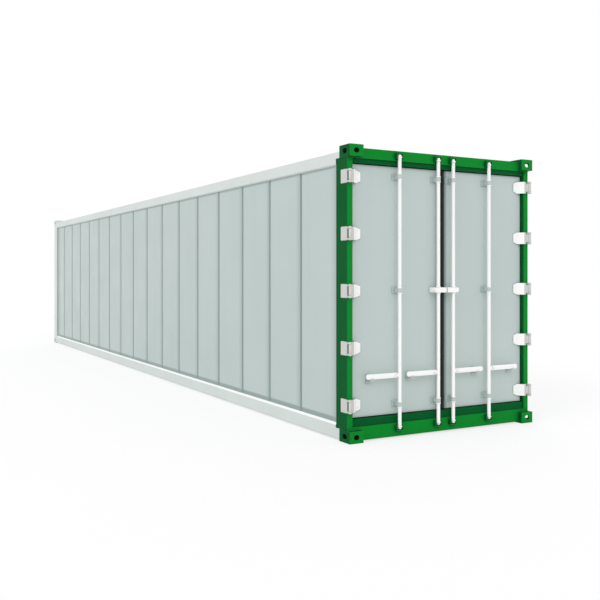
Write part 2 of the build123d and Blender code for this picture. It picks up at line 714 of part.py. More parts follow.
def left_leaf_pieces():
    """Every piece that hangs on the left hinges."""
    rods = (OUTER_ROD_OFFSET, INNER_ROD_OFFSET)
    return {
        "door_frame": [leaf_frame()],
        "door_skin": [leaf_skin()],
        "door_gasket": [leaf_gasket()],
        "hinge_blades": [hinge_blade(level) for level in leaf_levels(HINGE_COUNT, HINGE_MARGIN)],
        "rod_guides": rod_guides(),
        "handle_catches": [handle_catch(rod) for rod in rods],
        "centre_hasp": [centre_hasp()],
        "outer_rod": [lock_rod(OUTER_ROD_OFFSET)],
        "inner_rod": [lock_rod(INNER_ROD_OFFSET)],
        "outer_handle": [handle(OUTER_ROD_OFFSET)],
        "inner_handle": [handle(INNER_ROD_OFFSET)],
    }


def container():
    """Every node's solids, by name."""
    nodes = {
        "door_top_castings": castings(False, True),
        "door_bottom_castings": castings(False, False),
        "front_top_castings": castings(True, True),
        "front_bottom_castings": castings(True, False),
        "door_header": [door_header()],
        "door_sill": [door_sill()],
        "front_header": [front_header()],
        "front_sill": [front_sill()],
        "front_wall": [front_wall()],
        "roof": [roof()],
        "floor_deck": [floor_deck()],
        "floor_crossmembers": crossmembers(),
    }
    rods = (OUTER_ROD_OFFSET, INNER_ROD_OFFSET)
    left_keepers = [keeper(rod, at_top) for rod in rods for at_top in (True, False)]
    nodes["rod_keepers"] = left_keepers + [across(one) for one in left_keepers]
    left = {
        "door_post": [door_post()],
        "front_post": [front_post()],
        "bottom_rail": [bottom_rail()],
        "top_rail": [top_rail()],
        "side_wall": [side_wall()],
        "hinge_lugs": [hinge_lug(level) for level in leaf_levels(HINGE_COUNT, HINGE_MARGIN)],
        **left_leaf_pieces(),
    }
    for name, solids in left.items():
        nodes["left_" + name] = solids
        nodes["right_" + name] = [across(one) for one in solids]
    return nodes


def write(nodes):
    """Writes one STEP file for each node."""
    os.makedirs("parts", exist_ok=True)
    for name, solids in nodes.items():
        shape = solids[0] if len(solids) == 1 else Compound(children=solids)
        export_step(shape, f"parts/{name}.step")


write(container())
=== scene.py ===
"""Looks of a forty foot shipping container: finishes, small fittings, light and camera."""
import logging
import math
from dataclasses import dataclass, field
from enum import Enum
from typing import ClassVar, Dict, List, Sequence, Tuple

import bmesh
import bpy
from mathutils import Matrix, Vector


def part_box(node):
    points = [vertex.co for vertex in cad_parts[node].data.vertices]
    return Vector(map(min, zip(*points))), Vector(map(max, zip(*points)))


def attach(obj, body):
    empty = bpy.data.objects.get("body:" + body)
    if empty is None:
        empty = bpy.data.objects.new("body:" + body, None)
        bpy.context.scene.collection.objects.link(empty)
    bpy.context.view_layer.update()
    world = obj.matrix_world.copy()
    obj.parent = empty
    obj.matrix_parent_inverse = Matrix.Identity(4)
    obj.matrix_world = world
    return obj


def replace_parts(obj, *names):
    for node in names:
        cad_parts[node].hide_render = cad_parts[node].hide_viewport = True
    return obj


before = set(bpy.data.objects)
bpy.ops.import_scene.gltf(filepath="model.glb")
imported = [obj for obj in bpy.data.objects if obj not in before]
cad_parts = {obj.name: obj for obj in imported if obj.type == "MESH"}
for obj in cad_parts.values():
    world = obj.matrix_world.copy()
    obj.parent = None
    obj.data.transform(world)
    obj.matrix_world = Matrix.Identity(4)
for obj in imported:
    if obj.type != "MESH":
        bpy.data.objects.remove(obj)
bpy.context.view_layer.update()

LOG = logging.getLogger("container")
Point = Tuple[float, float, float]
Colour = Tuple[float, float, float]


class Side(Enum):
    """The two doors and walls, as seen by someone facing the doors."""

    LEFT = -1
    RIGHT = 1

    @property
    def word(self) -> str:
        """The word that names of pieces on this side begin with."""
        return self.name.lower()

    def y(self, distance: float) -> float:
        """A distance from the middle of the container, as a place on this side."""
        return self.value * distance


def srgb(red: int, green: int, blue: int) -> Colour:
    """Turns a colour as seen on a screen into linear light.

    Args:
        red: Red from 0 to 255.
        green: Green from 0 to 255.
        blue: Blue from 0 to 255.

    Returns:
        The linear red, green and blue.
    """

    def linear(value: int) -> float:
        """One part of the colour in linear light."""
        part = value / 255
        return part / 12.92 if part <= 0.04045 else ((part + 0.055) / 1.055) ** 2.4

    return linear(red), linear(green), linear(blue)


# Places, read from the frame. Distances across are from the container's middle.


def low_end(node: str, axis: str) -> float:
    """The lowest place of a node at rest, along x, y or z."""
    return getattr(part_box(node)[0], axis)


def high_end(node: str, axis: str) -> float:
    """The highest place of a node at rest, along x, y or z."""
    return getattr(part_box(node)[1], axis)


BAYS = 17
WALL_FRONT = low_end("right_side_wall", "x")
WALL_BACK = high_end("right_side_wall", "x")
WALL_FOOT = low_end("right_side_wall", "z")
WALL_HEAD = high_end("right_side_wall", "z")
BAY = (WALL_BACK - WALL_FRONT) / BAYS
POST_FACE = high_end("right_door_post", "x")
POST_SIDE = high_end("right_door_post", "y")
POST_INNER = high_end("door_header", "y")
LEAF_FACE = high_end("right_door_skin", "x")
LEAF_MIDDLE = (low_end("right_door_skin", "z") + high_end("right_door_skin", "z")) / 2
CAM_RADIUS = 0.023
ROD_X = high_end("right_inner_rod", "x") - CAM_RADIUS
INNER_ROD = low_end("right_inner_rod", "y") + CAM_RADIUS
OUTER_ROD = low_end("right_outer_rod", "y") + CAM_RADIUS


# Finishes


class NodeSheet:
    """The node tree of one material, with short ways to add what finishes need."""

    NOOK_RAYS: ClassVar[int] = 8
    EDGE_INSIDE: ClassVar[float] = 0.55
    EDGE_OPEN: ClassVar[float] = 0.95
    COLOURS_IN: ClassVar[Tuple[int, int]] = (6, 7)
    COLOUR_OUT: ClassVar[int] = 2

    def __init__(self, name: str) -> None:
        """Starts a material with one principled shader.

        Args:
            name: The material's name.
        """
        self.material = bpy.data.materials.new(name)
        self.material.use_nodes = True
        self.nodes = self.material.node_tree.nodes
        self.links = self.material.node_tree.links
        self.shader = self.nodes["Principled BSDF"]
        self.places = self.nodes.new("ShaderNodeTexCoord").outputs["Object"]

    def join(self, source: bpy.types.NodeSocket, target: bpy.types.NodeSocket) -> None:
        """Links two sockets."""
        self.links.new(source, target)

    def noise(self, scale: float, detail: float = 2.0, stretch: Point = (1, 1, 1)) -> bpy.types.NodeSocket:
        """Adds noise in the container's own metres.

        Args:
            scale: Lumps in a metre.
            detail: How many finer layers it has.
            stretch: How much denser it is along each axis.

        Returns:
            The noise's value, from 0 to 1.
        """
        mapping = self.nodes.new("ShaderNodeMapping")
        mapping.inputs["Scale"].default_value = stretch
        self.join(self.places, mapping.inputs["Vector"])
        noise = self.nodes.new("ShaderNodeTexNoise")
        noise.inputs["Scale"].default_value = scale
        noise.inputs["Detail"].default_value = detail
        self.join(mapping.outputs["Vector"], noise.inputs["Vector"])
        return noise.outputs["Fac"]

    def math(self, operation: str, *values: object, clamp: bool = False) -> bpy.types.NodeSocket:
        """Adds a sum of one kind.

        Args:
            operation: The name of the operation.
            values: Sockets or numbers, in order.
            clamp: Whether the result stays between 0 and 1.

        Returns:
            The result.
        """
        node = self.nodes.new("ShaderNodeMath")
        node.operation = operation
        node.use_clamp = clamp
        for slot, value in zip(node.inputs, values):
            if isinstance(value, bpy.types.NodeSocket):
                self.join(value, slot)
            else:
                slot.default_value = value
        return node.outputs["Value"]

    def spread(self, value: bpy.types.NodeSocket, low: float, high: float,
               to_low: float = 0.0, to_high: float = 1.0) -> bpy.types.NodeSocket:
        """Maps one range smoothly onto another and holds it at the ends.

        Args:
            value: What is mapped.
            low: The value that becomes to_low.
            high: The value that becomes to_high.
            to_low: The result at the low end.
            to_high: The result at the high end.

        Returns:
            The mapped value.
        """
        node = self.nodes.new("ShaderNodeMapRange")
        node.interpolation_type = "SMOOTHSTEP"
        self.join(value, node.inputs["Value"])
        for name, number in (("From Min", low), ("From Max", high), ("To Min", to_low), ("To Max", to_high)):
            node.inputs[name].default_value = number
        return node.outputs["Result"]

    def mix(self, factor: bpy.types.NodeSocket, first: object, second: object) -> bpy.types.NodeSocket:
        """Mixes two colours.

        Args:
            factor: How much of the second shows, from 0 to 1.
            first: A colour or a socket.
            second: A colour or a socket.

        Returns:
            The mixed colour.
        """
        node = self.nodes.new("ShaderNodeMix")
        node.data_type = "RGBA"
        self.join(factor, node.inputs["Factor"])
        for place, value in zip(self.COLOURS_IN, (first, second)):
            if isinstance(value, bpy.types.NodeSocket):
                self.join(value, node.inputs[place])
            else:
                node.inputs[place].default_value = (*value, 1)
        return node.outputs[self.COLOUR_OUT]

    def nook(self, reach: float) -> bpy.types.NodeSocket:
        """How closed in a place is: 1 deep in a corner or joint, 0 in the open.

        Args:
            reach: How far away, in metres, a neighbouring surface still counts.

        Returns:
            The value.
        """
        node = self.nodes.new("ShaderNodeAmbientOcclusion")
        node.samples = self.NOOK_RAYS
        node.inputs["Distance"].default_value = reach
        return self.math("SUBTRACT", 1.0, node.outputs["AO"], clamp=True)

    def edges(self, reach: float) -> bpy.types.NodeSocket:
        """How near an outer edge a place is: 1 on the edge, 0 away from it.

        Args:
            reach: How far from an edge, in metres, it still counts. It is less than the steel is thick.

        Returns:
            The value.
        """
        node = self.nodes.new("ShaderNodeAmbientOcclusion")
        node.samples = self.NOOK_RAYS
        node.inside = True
        node.only_local = True
        node.inputs["Distance"].default_value = reach
        return self.spread(node.outputs["AO"], self.EDGE_INSIDE, self.EDGE_OPEN, 1.0, 0.0)

    def axis(self, source: bpy.types.NodeSocket, name: str) -> bpy.types.NodeSocket:
        """Takes one axis of a vector.

        Args:
            source: The vector.
            name: X, Y or Z.

        Returns:
            The vector's part along that axis.
        """
        node = self.nodes.new("ShaderNodeSeparateXYZ")
        self.join(source, node.inputs["Vector"])
        return node.outputs[name]

    def facing(self) -> bpy.types.NodeSocket:
        """The direction that the surface faces, in the container's own axes."""
        node = self.nodes.new("ShaderNodeTexCoord")
        return node.outputs["Normal"]

    def bump(self, height: bpy.types.NodeSocket, depth: float, strength: float = 1.0) -> None:
        """Raises the surface by a pattern.

        Args:
            height: The pattern.
            depth: How high it stands, in metres.
            strength: How strongly it shows.
        """
        node = self.nodes.new("ShaderNodeBump")
        node.inputs["Strength"].default_value = strength
        node.inputs["Distance"].default_value = depth
        self.join(height, node.inputs["Height"])
        self.join(node.outputs["Normal"], self.shader.inputs["Normal"])


@dataclass(frozen=True)
class Mottle:
    """One layer of uneven colour or gloss: noise held between two levels."""

    scale: float
    detail: float
    low: float
    high: float
    stretch: Point = (1, 1, 1)
    weakest: float = 0.0
    strongest: float = 1.0

    def on(self, sheet: NodeSheet) -> bpy.types.NodeSocket:
        """Adds the layer to a material.

        Args:
            sheet: The material's nodes.

        Returns:
            How strong the layer is.
        """
        noise = sheet.noise(self.scale, self.detail, self.stretch)
        return sheet.spread(noise, self.low, self.high, self.weakest, self.strongest)


@dataclass(frozen=True)
class Grain:
    """A fine raised pattern on a surface. Its depth is in metres."""

    scale: float
    detail: float
    depth: float
    strength: float
    stretch: Point = (1, 1, 1)

    def on(self, sheet: NodeSheet) -> None:
        """Raises the surface of a sheet's material by the pattern."""
        sheet.bump(sheet.noise(self.scale, self.detail, self.stretch), self.depth, self.strength)


class Finish:
    """A finish that is made once and shared by every piece that has it."""

    name: str
    _made: ClassVar[Dict[str, bpy.types.Material]] = {}

    def material(self) -> bpy.types.Material:
        """Makes the finish's material on first use.

        Returns:
            The material.
        """
        if self.name not in Finish._made:
            sheet = NodeSheet(self.name)
            self.draw(sheet)
            Finish._made[self.name] = sheet.material
        return Finish._made[self.name]

    def draw(self, sheet: NodeSheet) -> None:
        """Draws the finish on a sheet of nodes."""
        raise NotImplementedError


@dataclass(frozen=True)
class SprayedPaint(Finish):
    """Satin paint sprayed on steel, a little darker down its rain streaks, with painted shade in its corners
    and joints.
    """

    CLOUDS: ClassVar[Mottle] = Mottle(scale=0.9, detail=4.0, low=0.35, high=0.7)
    RAIN: ClassVar[Mottle] = Mottle(scale=7.0, detail=3.0, low=0.45, high=0.8, stretch=(1, 1, 0.06))
    CHIPS: ClassVar[Mottle] = Mottle(scale=34.0, detail=6.0, low=0.47, high=0.6, strongest=0.85)
    PEEL: ClassVar[Grain] = Grain(scale=260.0, detail=2.0, depth=0.00025, strength=0.35)

    name: str
    colour: Colour
    deep: Colour
    joint: Colour
    roughness: float = 0.42
    smoother: float = 0.06
    duller: float = 0.1
    clouds: float = 0.5
    streaks: float = 0.35
    most_deep: float = 0.6
    shade_reach: float = 0.035
    shade_strength: float = 0.9
    sheen: float = 0.2
    rubbed: Colour = (0.5, 0.5, 0.5)
    rub_reach: float = 0.0

    def shade(self, sheet: NodeSheet) -> bpy.types.NodeSocket:
        """The paint's colour before painted shade is added in its corners and joints.

        Args:
            sheet: The material's nodes.

        Returns:
            The colour.
        """
        cloud = sheet.math("MULTIPLY", self.CLOUDS.on(sheet), self.clouds)
        streak = sheet.math("MULTIPLY", self.RAIN.on(sheet), self.streaks)
        both = sheet.math("ADD", cloud, streak)
        return sheet.mix(sheet.math("MULTIPLY", both, self.most_deep, clamp=True), self.colour, self.deep)

    def painted_shade(self, sheet: NodeSheet) -> bpy.types.NodeSocket:
        """How much painted shade there is, from 0 to 1: most in corners and joints.

        Args:
            sheet: The material's nodes.

        Returns:
            The amount.
        """
        return sheet.math("MULTIPLY", sheet.nook(self.shade_reach), self.shade_strength, clamp=True)

    def wear(self, sheet: NodeSheet, colour: bpy.types.NodeSocket) -> bpy.types.NodeSocket:
        """Rubs the paint thin in patches along its outer edges, where things brush past.

        Args:
            sheet: The material's nodes.
            colour: The paint's colour.

        Returns:
            The colour with its worn edges.
        """
        if not self.rub_reach:
            return colour
        worn = sheet.math("MULTIPLY", sheet.edges(self.rub_reach), self.CHIPS.on(sheet))
        return sheet.mix(worn, colour, self.rubbed)

    def draw(self, sheet: NodeSheet) -> None:
        """Draws the paint.

        Args:
            sheet: The material's nodes.
        """
        # Painted shade: corners and joints are darkened towards the shade colour, by how closed in they are.
        dust_and_shade = sheet.mix(self.painted_shade(sheet), self.shade(sheet), self.joint)
        sheet.join(self.wear(sheet, dust_and_shade), sheet.shader.inputs["Base Color"])
        gloss = Mottle(
            scale=3.0, detail=5.0, low=0.3, high=0.7,
            weakest=self.roughness - self.smoother, strongest=self.roughness + self.duller,
        )
        sheet.join(gloss.on(sheet), sheet.shader.inputs["Roughness"])
        sheet.shader.inputs["Specular IOR Level"].default_value = self.sheen
        self.PEEL.on(sheet)


@dataclass(frozen=True)
class SheetPaint(SprayedPaint):
    """Paint on a pressed sheet, with painted shade inside and beside its joints and along what frames it."""

    depth_axis: str = "Y"
    face: float = high_end("right_side_wall", "y")
    joint_half: float = 0.009
    joint_lip: float = 0.0006
    framed: bool = True
    foot: float = WALL_FOOT
    foot_width: float = 0.060
    foot_solid: float = 0.6
    head_width: float = 0.034
    darkest_shade: float = 0.95
    long_side: bool = False
    post_width: float = 0.30
    post_solid: float = 0.25
    post_shade: float = 0.85
    shoulder: float = 0.12
    shoulder_shade: float = 0.5

    def painted_rail_shade(self, sheet: NodeSheet) -> List[bpy.types.NodeSocket]:
        """Painted shade above the lower rail and a painted shadow below the upper one.

        Args:
            sheet: The material's nodes.

        Returns:
            The two amounts.
        """
        level = sheet.axis(sheet.places, "Z")
        thinning = self.foot + self.foot_width * self.foot_solid
        return [
            sheet.spread(level, thinning, self.foot + self.foot_width, self.darkest_shade, 0.0),
            sheet.spread(level, WALL_HEAD - self.head_width, WALL_HEAD, 0.0, self.darkest_shade),
        ]

    def painted_post_and_seam_shade(self, sheet: NodeSheet) -> List[bpy.types.NodeSocket]:
        """Painted shadow beside the front post, and soft painted shade on the front side of every pressed
        seam.

        Args:
            sheet: The material's nodes.

        Returns:
            The two amounts.
        """
        along = sheet.axis(sheet.places, "X")
        bays = sheet.math("DIVIDE", sheet.math("SUBTRACT", along, WALL_FRONT), BAY)
        thinning = WALL_FRONT + self.post_width * self.post_solid
        mark = 1 - self.shoulder / BAY
        return [
            sheet.spread(along, thinning, WALL_FRONT + self.post_width, self.post_shade, 0.0),
            sheet.spread(sheet.math("FRACT", bays), mark, 1.0, 0.0, self.shoulder_shade),
        ]

    def painted_shade(self, sheet: NodeSheet) -> bpy.types.NodeSocket:
        """Painted shade in the corners, in the joints and beside the rails and post.

        Args:
            sheet: The material's nodes.

        Returns:
            The amount.
        """
        # Painted shade inside the pressed joints, darkest at their bottom.
        depth = sheet.math("ABSOLUTE", sheet.axis(sheet.places, self.depth_axis))
        edge = self.face - self.joint_lip
        most = sheet.math(
            "MAXIMUM",
            super().painted_shade(sheet),
            sheet.spread(depth, self.face - self.joint_half, edge, self.darkest_shade, 0.0),
        )
        parts = self.painted_rail_shade(sheet) if self.framed else []
        if self.long_side:
            parts += self.painted_post_and_seam_shade(sheet)
        for part in parts:
            most = sheet.math("MAXIMUM", most, part)
        return most


@dataclass(frozen=True)
class LeafPaint(SprayedPaint):
    """Paint on a door leaf, with a painted shadow beside the seam."""

    shade_ends: float = 0.094
    dust_and_shade: float = 0.040

    def painted_shade(self, sheet: NodeSheet) -> bpy.types.NodeSocket:
        """Painted shade in corners and a painted shadow beside the seam between the leaves.

        Args:
            sheet: The material's nodes.

        Returns:
            The amount.
        """
        across = sheet.math("ABSOLUTE", sheet.axis(sheet.places, "Y"))
        beside = sheet.spread(across, self.dust_and_shade, self.shade_ends, 1.0, 0.0)
        return sheet.math("MAXIMUM", super().painted_shade(sheet), beside)


@dataclass(frozen=True)
class HighlitLedgePaint(SprayedPaint):
    """Rail paint with a painted highlight: nearly white on the sloping top that faces the sky."""

    LEVEL: ClassVar[Tuple[float, float]] = (0.3, 0.5)

    ledge_highlight: Colour = (0.95, 0.95, 0.95)

    def shade(self, sheet: NodeSheet) -> bpy.types.NodeSocket:
        """The rail's grey, and a painted white highlight on what faces up.

        Args:
            sheet: The material's nodes.

        Returns:
            The colour.
        """
        upward_part = sheet.axis(sheet.facing(), "Z")
        return sheet.mix(sheet.spread(upward_part, *self.LEVEL), super().shade(sheet), self.ledge_highlight)


@dataclass(frozen=True)
class LitAndShadedPaint(SprayedPaint):
    """Paint with painted light and shade: lit on its foremost faces, and a deeper painted shade on the sides
    and set-back lips.
    """

    AHEAD: ClassVar[float] = 0.5

    # The green of the painted shade on the sides and set-back lips.
    dark: Colour = (0.0, 0.1, 0.03)
    front: float = POST_FACE - 0.005

    def shade(self, sheet: NodeSheet) -> bpy.types.NodeSocket:
        """The lit green or the painted-shade green, by which way a face looks and how far forward it is.

        Args:
            sheet: The material's nodes.

        Returns:
            The colour.
        """
        plain = super().shade(sheet)
        looks_ahead = sheet.math("GREATER_THAN", sheet.axis(sheet.facing(), "X"), self.AHEAD)
        foremost = sheet.math("GREATER_THAN", sheet.axis(sheet.places, "X"), self.front)
        lit_faces = sheet.math("MULTIPLY", looks_ahead, foremost)
        return sheet.mix(lit_faces, self.dark, plain)


@dataclass(frozen=True)
class BladePaint(SprayedPaint):
    """White paint on a hinge that is light grey where it crosses the post."""

    over_post: Colour = (0.7, 0.68, 0.68)
    post_edge: float = POST_INNER - 0.005

    def shade(self, sheet: NodeSheet) -> bpy.types.NodeSocket:
        """White on the leaf and light grey outside the post's inner edge.

        Args:
            sheet: The material's nodes.

        Returns:
            The colour.
        """
        plain = super().shade(sheet)
        across = sheet.math("ABSOLUTE", sheet.axis(sheet.places, "Y"))
        return sheet.mix(sheet.math("GREATER_THAN", across, self.post_edge), plain, self.over_post)


@dataclass(frozen=True)
class SealRubber(Finish):
    """Black extruded rubber with a faint grain and dust on its lips."""

    DUST: ClassVar[Mottle] = Mottle(scale=24.0, detail=5.0, low=0.5, high=0.85, strongest=0.35)
    GRAIN: ClassVar[Grain] = Grain(scale=420.0, detail=3.0, depth=0.0003, strength=0.4, stretch=(1, 1, 0.2))

    name: str
    colour: Colour
    dust: Colour
    roughness: float = 0.62
    sheen: float = 0.3

    def draw(self, sheet: NodeSheet) -> None:
        """Draws the rubber.

        Args:
            sheet: The material's nodes.
        """
        sheet.join(sheet.mix(self.DUST.on(sheet), self.colour, self.dust), sheet.shader.inputs["Base Color"])
        sheet.shader.inputs["Roughness"].default_value = self.roughness
        sheet.shader.inputs["Specular IOR Level"].default_value = self.sheen
        self.GRAIN.on(sheet)


@dataclass(frozen=True)
class FloorBoard(Finish):
    """Brown varnished floor board with its grain along the container."""

    GRAIN: ClassVar[Mottle] = Mottle(scale=90.0, detail=6.0, low=0.35, high=0.68, stretch=(0.03, 1, 1))
    PATCHES: ClassVar[Mottle] = Mottle(scale=1.6, detail=3.0, low=0.3, high=0.75, strongest=0.5)

    name: str
    light: Colour
    dark: Colour
    roughness: float = 0.48
    polished: float = 0.08
    scuffed: float = 0.2
    grain_share: float = 0.6
    grain_depth: float = 0.0006
    grain_strength: float = 0.5

    def draw(self, sheet: NodeSheet) -> None:
        """Draws the board.

        Args:
            sheet: The material's nodes.
        """
        grain = self.GRAIN.on(sheet)
        streaks = sheet.math("MULTIPLY", grain, self.grain_share)
        tone = sheet.math("ADD", streaks, self.PATCHES.on(sheet), clamp=True)
        sheet.join(sheet.mix(tone, self.light, self.dark), sheet.shader.inputs["Base Color"])
        scuffs = Mottle(
            scale=5.0, detail=4.0, low=0.35, high=0.7,
            weakest=self.roughness - self.polished, strongest=self.roughness + self.scuffed,
        )
        sheet.join(scuffs.on(sheet), sheet.shader.inputs["Roughness"])
        sheet.bump(grain, self.grain_depth, self.grain_strength)


@dataclass(frozen=True)
class Undercoat(Finish):
    """Thick dark protective coat, brushed on the underframe."""

    DUST: ClassVar[Mottle] = Mottle(scale=6.0, detail=6.0, low=0.4, high=0.8, strongest=0.6)
    LUMPS: ClassVar[Grain] = Grain(scale=55.0, detail=5.0, depth=0.002, strength=0.5)

    name: str
    colour: Colour
    dust_and_shade: Colour
    roughness: float = 0.7

    def draw(self, sheet: NodeSheet) -> None:
        """Draws the coat.

        Args:
            sheet: The material's nodes.
        """
        sheet.join(sheet.mix(self.DUST.on(sheet), self.colour, self.dust_and_shade), sheet.shader.inputs["Base Color"])
        sheet.shader.inputs["Roughness"].default_value = self.roughness
        self.LUMPS.on(sheet)


@dataclass(frozen=True)
class PlatedSteel(Finish):
    """Zinc-plated steel of small fasteners."""

    SPOTS: ClassVar[Mottle] = Mottle(scale=120.0, detail=4.0, low=0.35, high=0.7)

    name: str
    colour: Colour
    spot_tone: float = 0.7
    metal: float = 0.9
    roughness: float = 0.38
    spot_depth: float = 0.0002
    spot_strength: float = 0.3

    def draw(self, sheet: NodeSheet) -> None:
        """Draws the plating.

        Args:
            sheet: The material's nodes.
        """
        spots = self.SPOTS.on(sheet)
        darker = tuple(self.spot_tone * part for part in self.colour)
        sheet.join(sheet.mix(spots, self.colour, darker), sheet.shader.inputs["Base Color"])
        sheet.shader.inputs["Metallic"].default_value = self.metal
        sheet.shader.inputs["Roughness"].default_value = self.roughness
        sheet.bump(spots, self.spot_depth, self.spot_strength)


# Making meshes


def squared(value: float, power: float) -> float:
    """A sine or cosine pushed away from 0, which makes a circle squarer."""
    return math.copysign(abs(value) ** power, value)


@dataclass(frozen=True)
class Bench:
    """A place with three directions, on which a small fitting is made."""

    origin: Vector
    right: Vector
    up: Vector
    out: Vector

    def at(self, right: float, up: float, out: float = 0.0) -> Vector:
        """A point, measured from the bench's place along its three directions."""
        return self.origin + self.right * right + self.up * up + self.out * out

    def circle(self, radius: float, out: float, count: int = 24) -> List[Vector]:
        """Even points round the bench's place.

        Args:
            radius: The circle's radius.
            out: How far it stands out.
            count: How many points it has.

        Returns:
            The points, in order.
        """
        angles = [2 * math.pi * n / count for n in range(count)]
        return [self.at(radius * math.cos(a), radius * math.sin(a), out) for a in angles]


def ahead(x: float, y: float, z: float) -> Bench:
    """A bench on a surface that faces the doors' end."""
    return Bench(Vector((x, y, z)), Vector((0, 1, 0)), Vector((0, 0, 1)), Vector((1, 0, 0)))


def upward(x: float, y: float, z: float) -> Bench:
    """A bench on a surface that faces up."""
    return Bench(Vector((x, y, z)), Vector((1, 0, 0)), Vector((0, 1, 0)), Vector((0, 0, 1)))


def downward(x: float, y: float, z: float) -> Bench:
    """A bench on a surface that faces down."""
    return Bench(Vector((x, y, z)), Vector((1, 0, 0)), Vector((0, -1, 0)), Vector((0, 0, -1)))


class Workpiece:
    """One piece in the making, in the container's own metres."""

    SUNK: ClassVar[float] = 0.0005
    FASTENER_SIDES: ClassVar[int] = 20
    HEAD_SIDES: ClassVar[int] = 6
    WASHER: ClassVar[Tuple[Tuple[float, float], ...]] = ((1.35, 0.21), (1.25, 0.30))
    BOLT_HEAD: ClassVar[Tuple[Tuple[float, float], ...]] = ((1.0, 0.27), (1.0, 0.92), (0.86, 1.04))
    DOME_STEPS: ClassVar[Tuple[float, ...]] = (0.35, 0.62, 0.83, 0.96)
    SLAB_EDGE: ClassVar[float] = 0.0015
    RIPPLE: ClassVar[float] = 0.007
    SWELLS: ClassVar[Tuple[float, ...]] = (0.84, 1.0, 0.93)
    BEAD_TIP: ClassVar[float] = 0.45
    BEAD_SIDES: ClassVar[int] = 8
    ASKEW: ClassVar[Point] = (0.31, 0.52, 0.79)
    BAR_SIDES: ClassVar[int] = 10
    SHARP: ClassVar[float] = math.radians(38)

    def __init__(self, name: str) -> None:
        """Starts an empty piece.

        Args:
            name: The piece's name.
        """
        self.name = name
        self.mesh = bmesh.new()

    def skin(self, rings: Sequence[Sequence[Vector]], looped: bool = False) -> None:
        """Skins a row of rings that have equally many points.

        Args:
            rings: The rings, in order.
            looped: Whether the last ring joins the first, instead of both being capped.
        """
        rows = [[self.mesh.verts.new(point) for point in ring] for ring in rings]
        pairs = list(zip(rows, rows[1:]))
        if looped:
            pairs.append((rows[-1], rows[0]))
        for one, other in pairs:
            for n in range(len(one)):
                after = (n + 1) % len(one)
                self.mesh.faces.new((one[n], one[after], other[after], other[n]))
        if not looped:
            self.mesh.faces.new(list(reversed(rows[0])))
            self.mesh.faces.new(rows[-1])

    def turned(self, bench: Bench, profile: Sequence[Tuple[float, float]], count: int = 24) -> None:
        """Makes a solid turned round the bench's outward line.

        Args:
            bench: Where it stands.
            profile: Radius and distance out, from one end to the other.
            count: How many points each ring has.
        """
        self.skin([bench.circle(radius, out, count) for radius, out in profile])

    def bolt(self, bench: Bench, size: float) -> None:
        """Makes a hexagon bolt with its washer.

        Args:
            bench: Where it stands.
            size: How far the corners of its head are from its middle.
        """
        washer = [(self.WASHER[0][0] * size, -self.SUNK)]
        washer += [(radius * size, out * size) for radius, out in self.WASHER]
        self.turned(bench, washer, self.FASTENER_SIDES)
        head = [(radius * size, out * size) for radius, out in self.BOLT_HEAD]
        self.turned(bench, head, self.HEAD_SIDES)

    def dome(self, bench: Bench, radius: float, height: float) -> None:
        """Makes a round domed head.

        Args:
            bench: Where it stands.
            radius: Its radius.
            height: How high it stands.
        """
        profile = [(radius, -self.SUNK), (radius, 0.0)]
        profile += [(radius * math.sqrt(1 - step * step), height * step) for step in self.DOME_STEPS]
        self.turned(bench, profile, self.FASTENER_SIDES)

    def slab(self, low: Point, high: Point) -> None:
        """Makes a board or plate with its upper and lower edges eased.

        Args:
            low: Its lowest corner.
            high: Its highest corner.
        """
        edge = self.SLAB_EDGE
        levels = [(edge, low[2]), (0, low[2] + edge), (0, high[2] - edge), (edge, high[2])]
        rings = []
        for inset, z in levels:
            near = (low[0] + inset, low[1] + inset)
            far = (high[0] - inset, high[1] - inset)
            corners = ((near[0], near[1]), (far[0], near[1]), (far[0], far[1]), (near[0], far[1]))
            rings.append([Vector((x, y, z)) for x, y in corners])
        self.skin(rings)

    def bead(self, start: Point, end: Point, radius: float) -> None:
        """Lays a rippled weld bead from one point to another.

        Args:
            start: Where it begins.
            end: Where it ends.
            radius: Its radius.
        """
        first, last = Vector(start), Vector(end)
        run = last - first
        along = run.normalized()
        side = along.cross(Vector(self.ASKEW)).normalized()
        up = along.cross(side)
        count = max(2, round(run.length / self.RIPPLE)) * len(self.SWELLS)
        rings = []
        for n in range(count + 1):
            swell = self.SWELLS[n % len(self.SWELLS)] if 0 < n < count else self.BEAD_TIP
            bench = Bench(first + run * (n / count), side, up, along)
            rings.append(bench.circle(radius * swell, 0.0, self.BEAD_SIDES))
        self.skin(rings)

    def bent_bar(self, path: Sequence[Vector], side: Vector, radius: float) -> None:
        """Bends a round bar along a flat path.

        Args:
            path: The points that its middle follows.
            side: The direction square to the path's plane.
            radius: The bar's radius.
        """
        rings = []
        for n, point in enumerate(path):
            before, after = path[max(0, n - 1)], path[min(len(path) - 1, n + 1)]
            along = (after - before).normalized()
            rings.append(Bench(point, side, along.cross(side), along).circle(radius, 0.0, self.BAR_SIDES))
        self.skin(rings)

    def done(self, body: str, finish: Finish, ease: float = 0.0) -> bpy.types.Object:
        """Turns the mesh into a piece that rides on a body.

        Args:
            body: The body that it rides on.
            finish: Its finish.
            ease: How far its sharp edges are rounded.

        Returns:
            The piece.
        """
        bmesh.ops.recalc_face_normals(self.mesh, faces=self.mesh.faces[:])
        for face in self.mesh.faces:
            face.smooth = True
        data = bpy.data.meshes.new(self.name)
        self.mesh.to_mesh(data)
        self.mesh.free()
        data.set_sharp_from_angle(angle=self.SHARP)
        data.materials.append(finish.material())
        piece = bpy.data.objects.new(self.name, data)
        bpy.context.collection.objects.link(piece)
        if ease:
            soften(piece, ease)
        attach(piece, body)
        LOG.info("%s rides on %s, %d faces", self.name, body, len(data.polygons))
        return piece


EASED_ANGLE = math.radians(28)


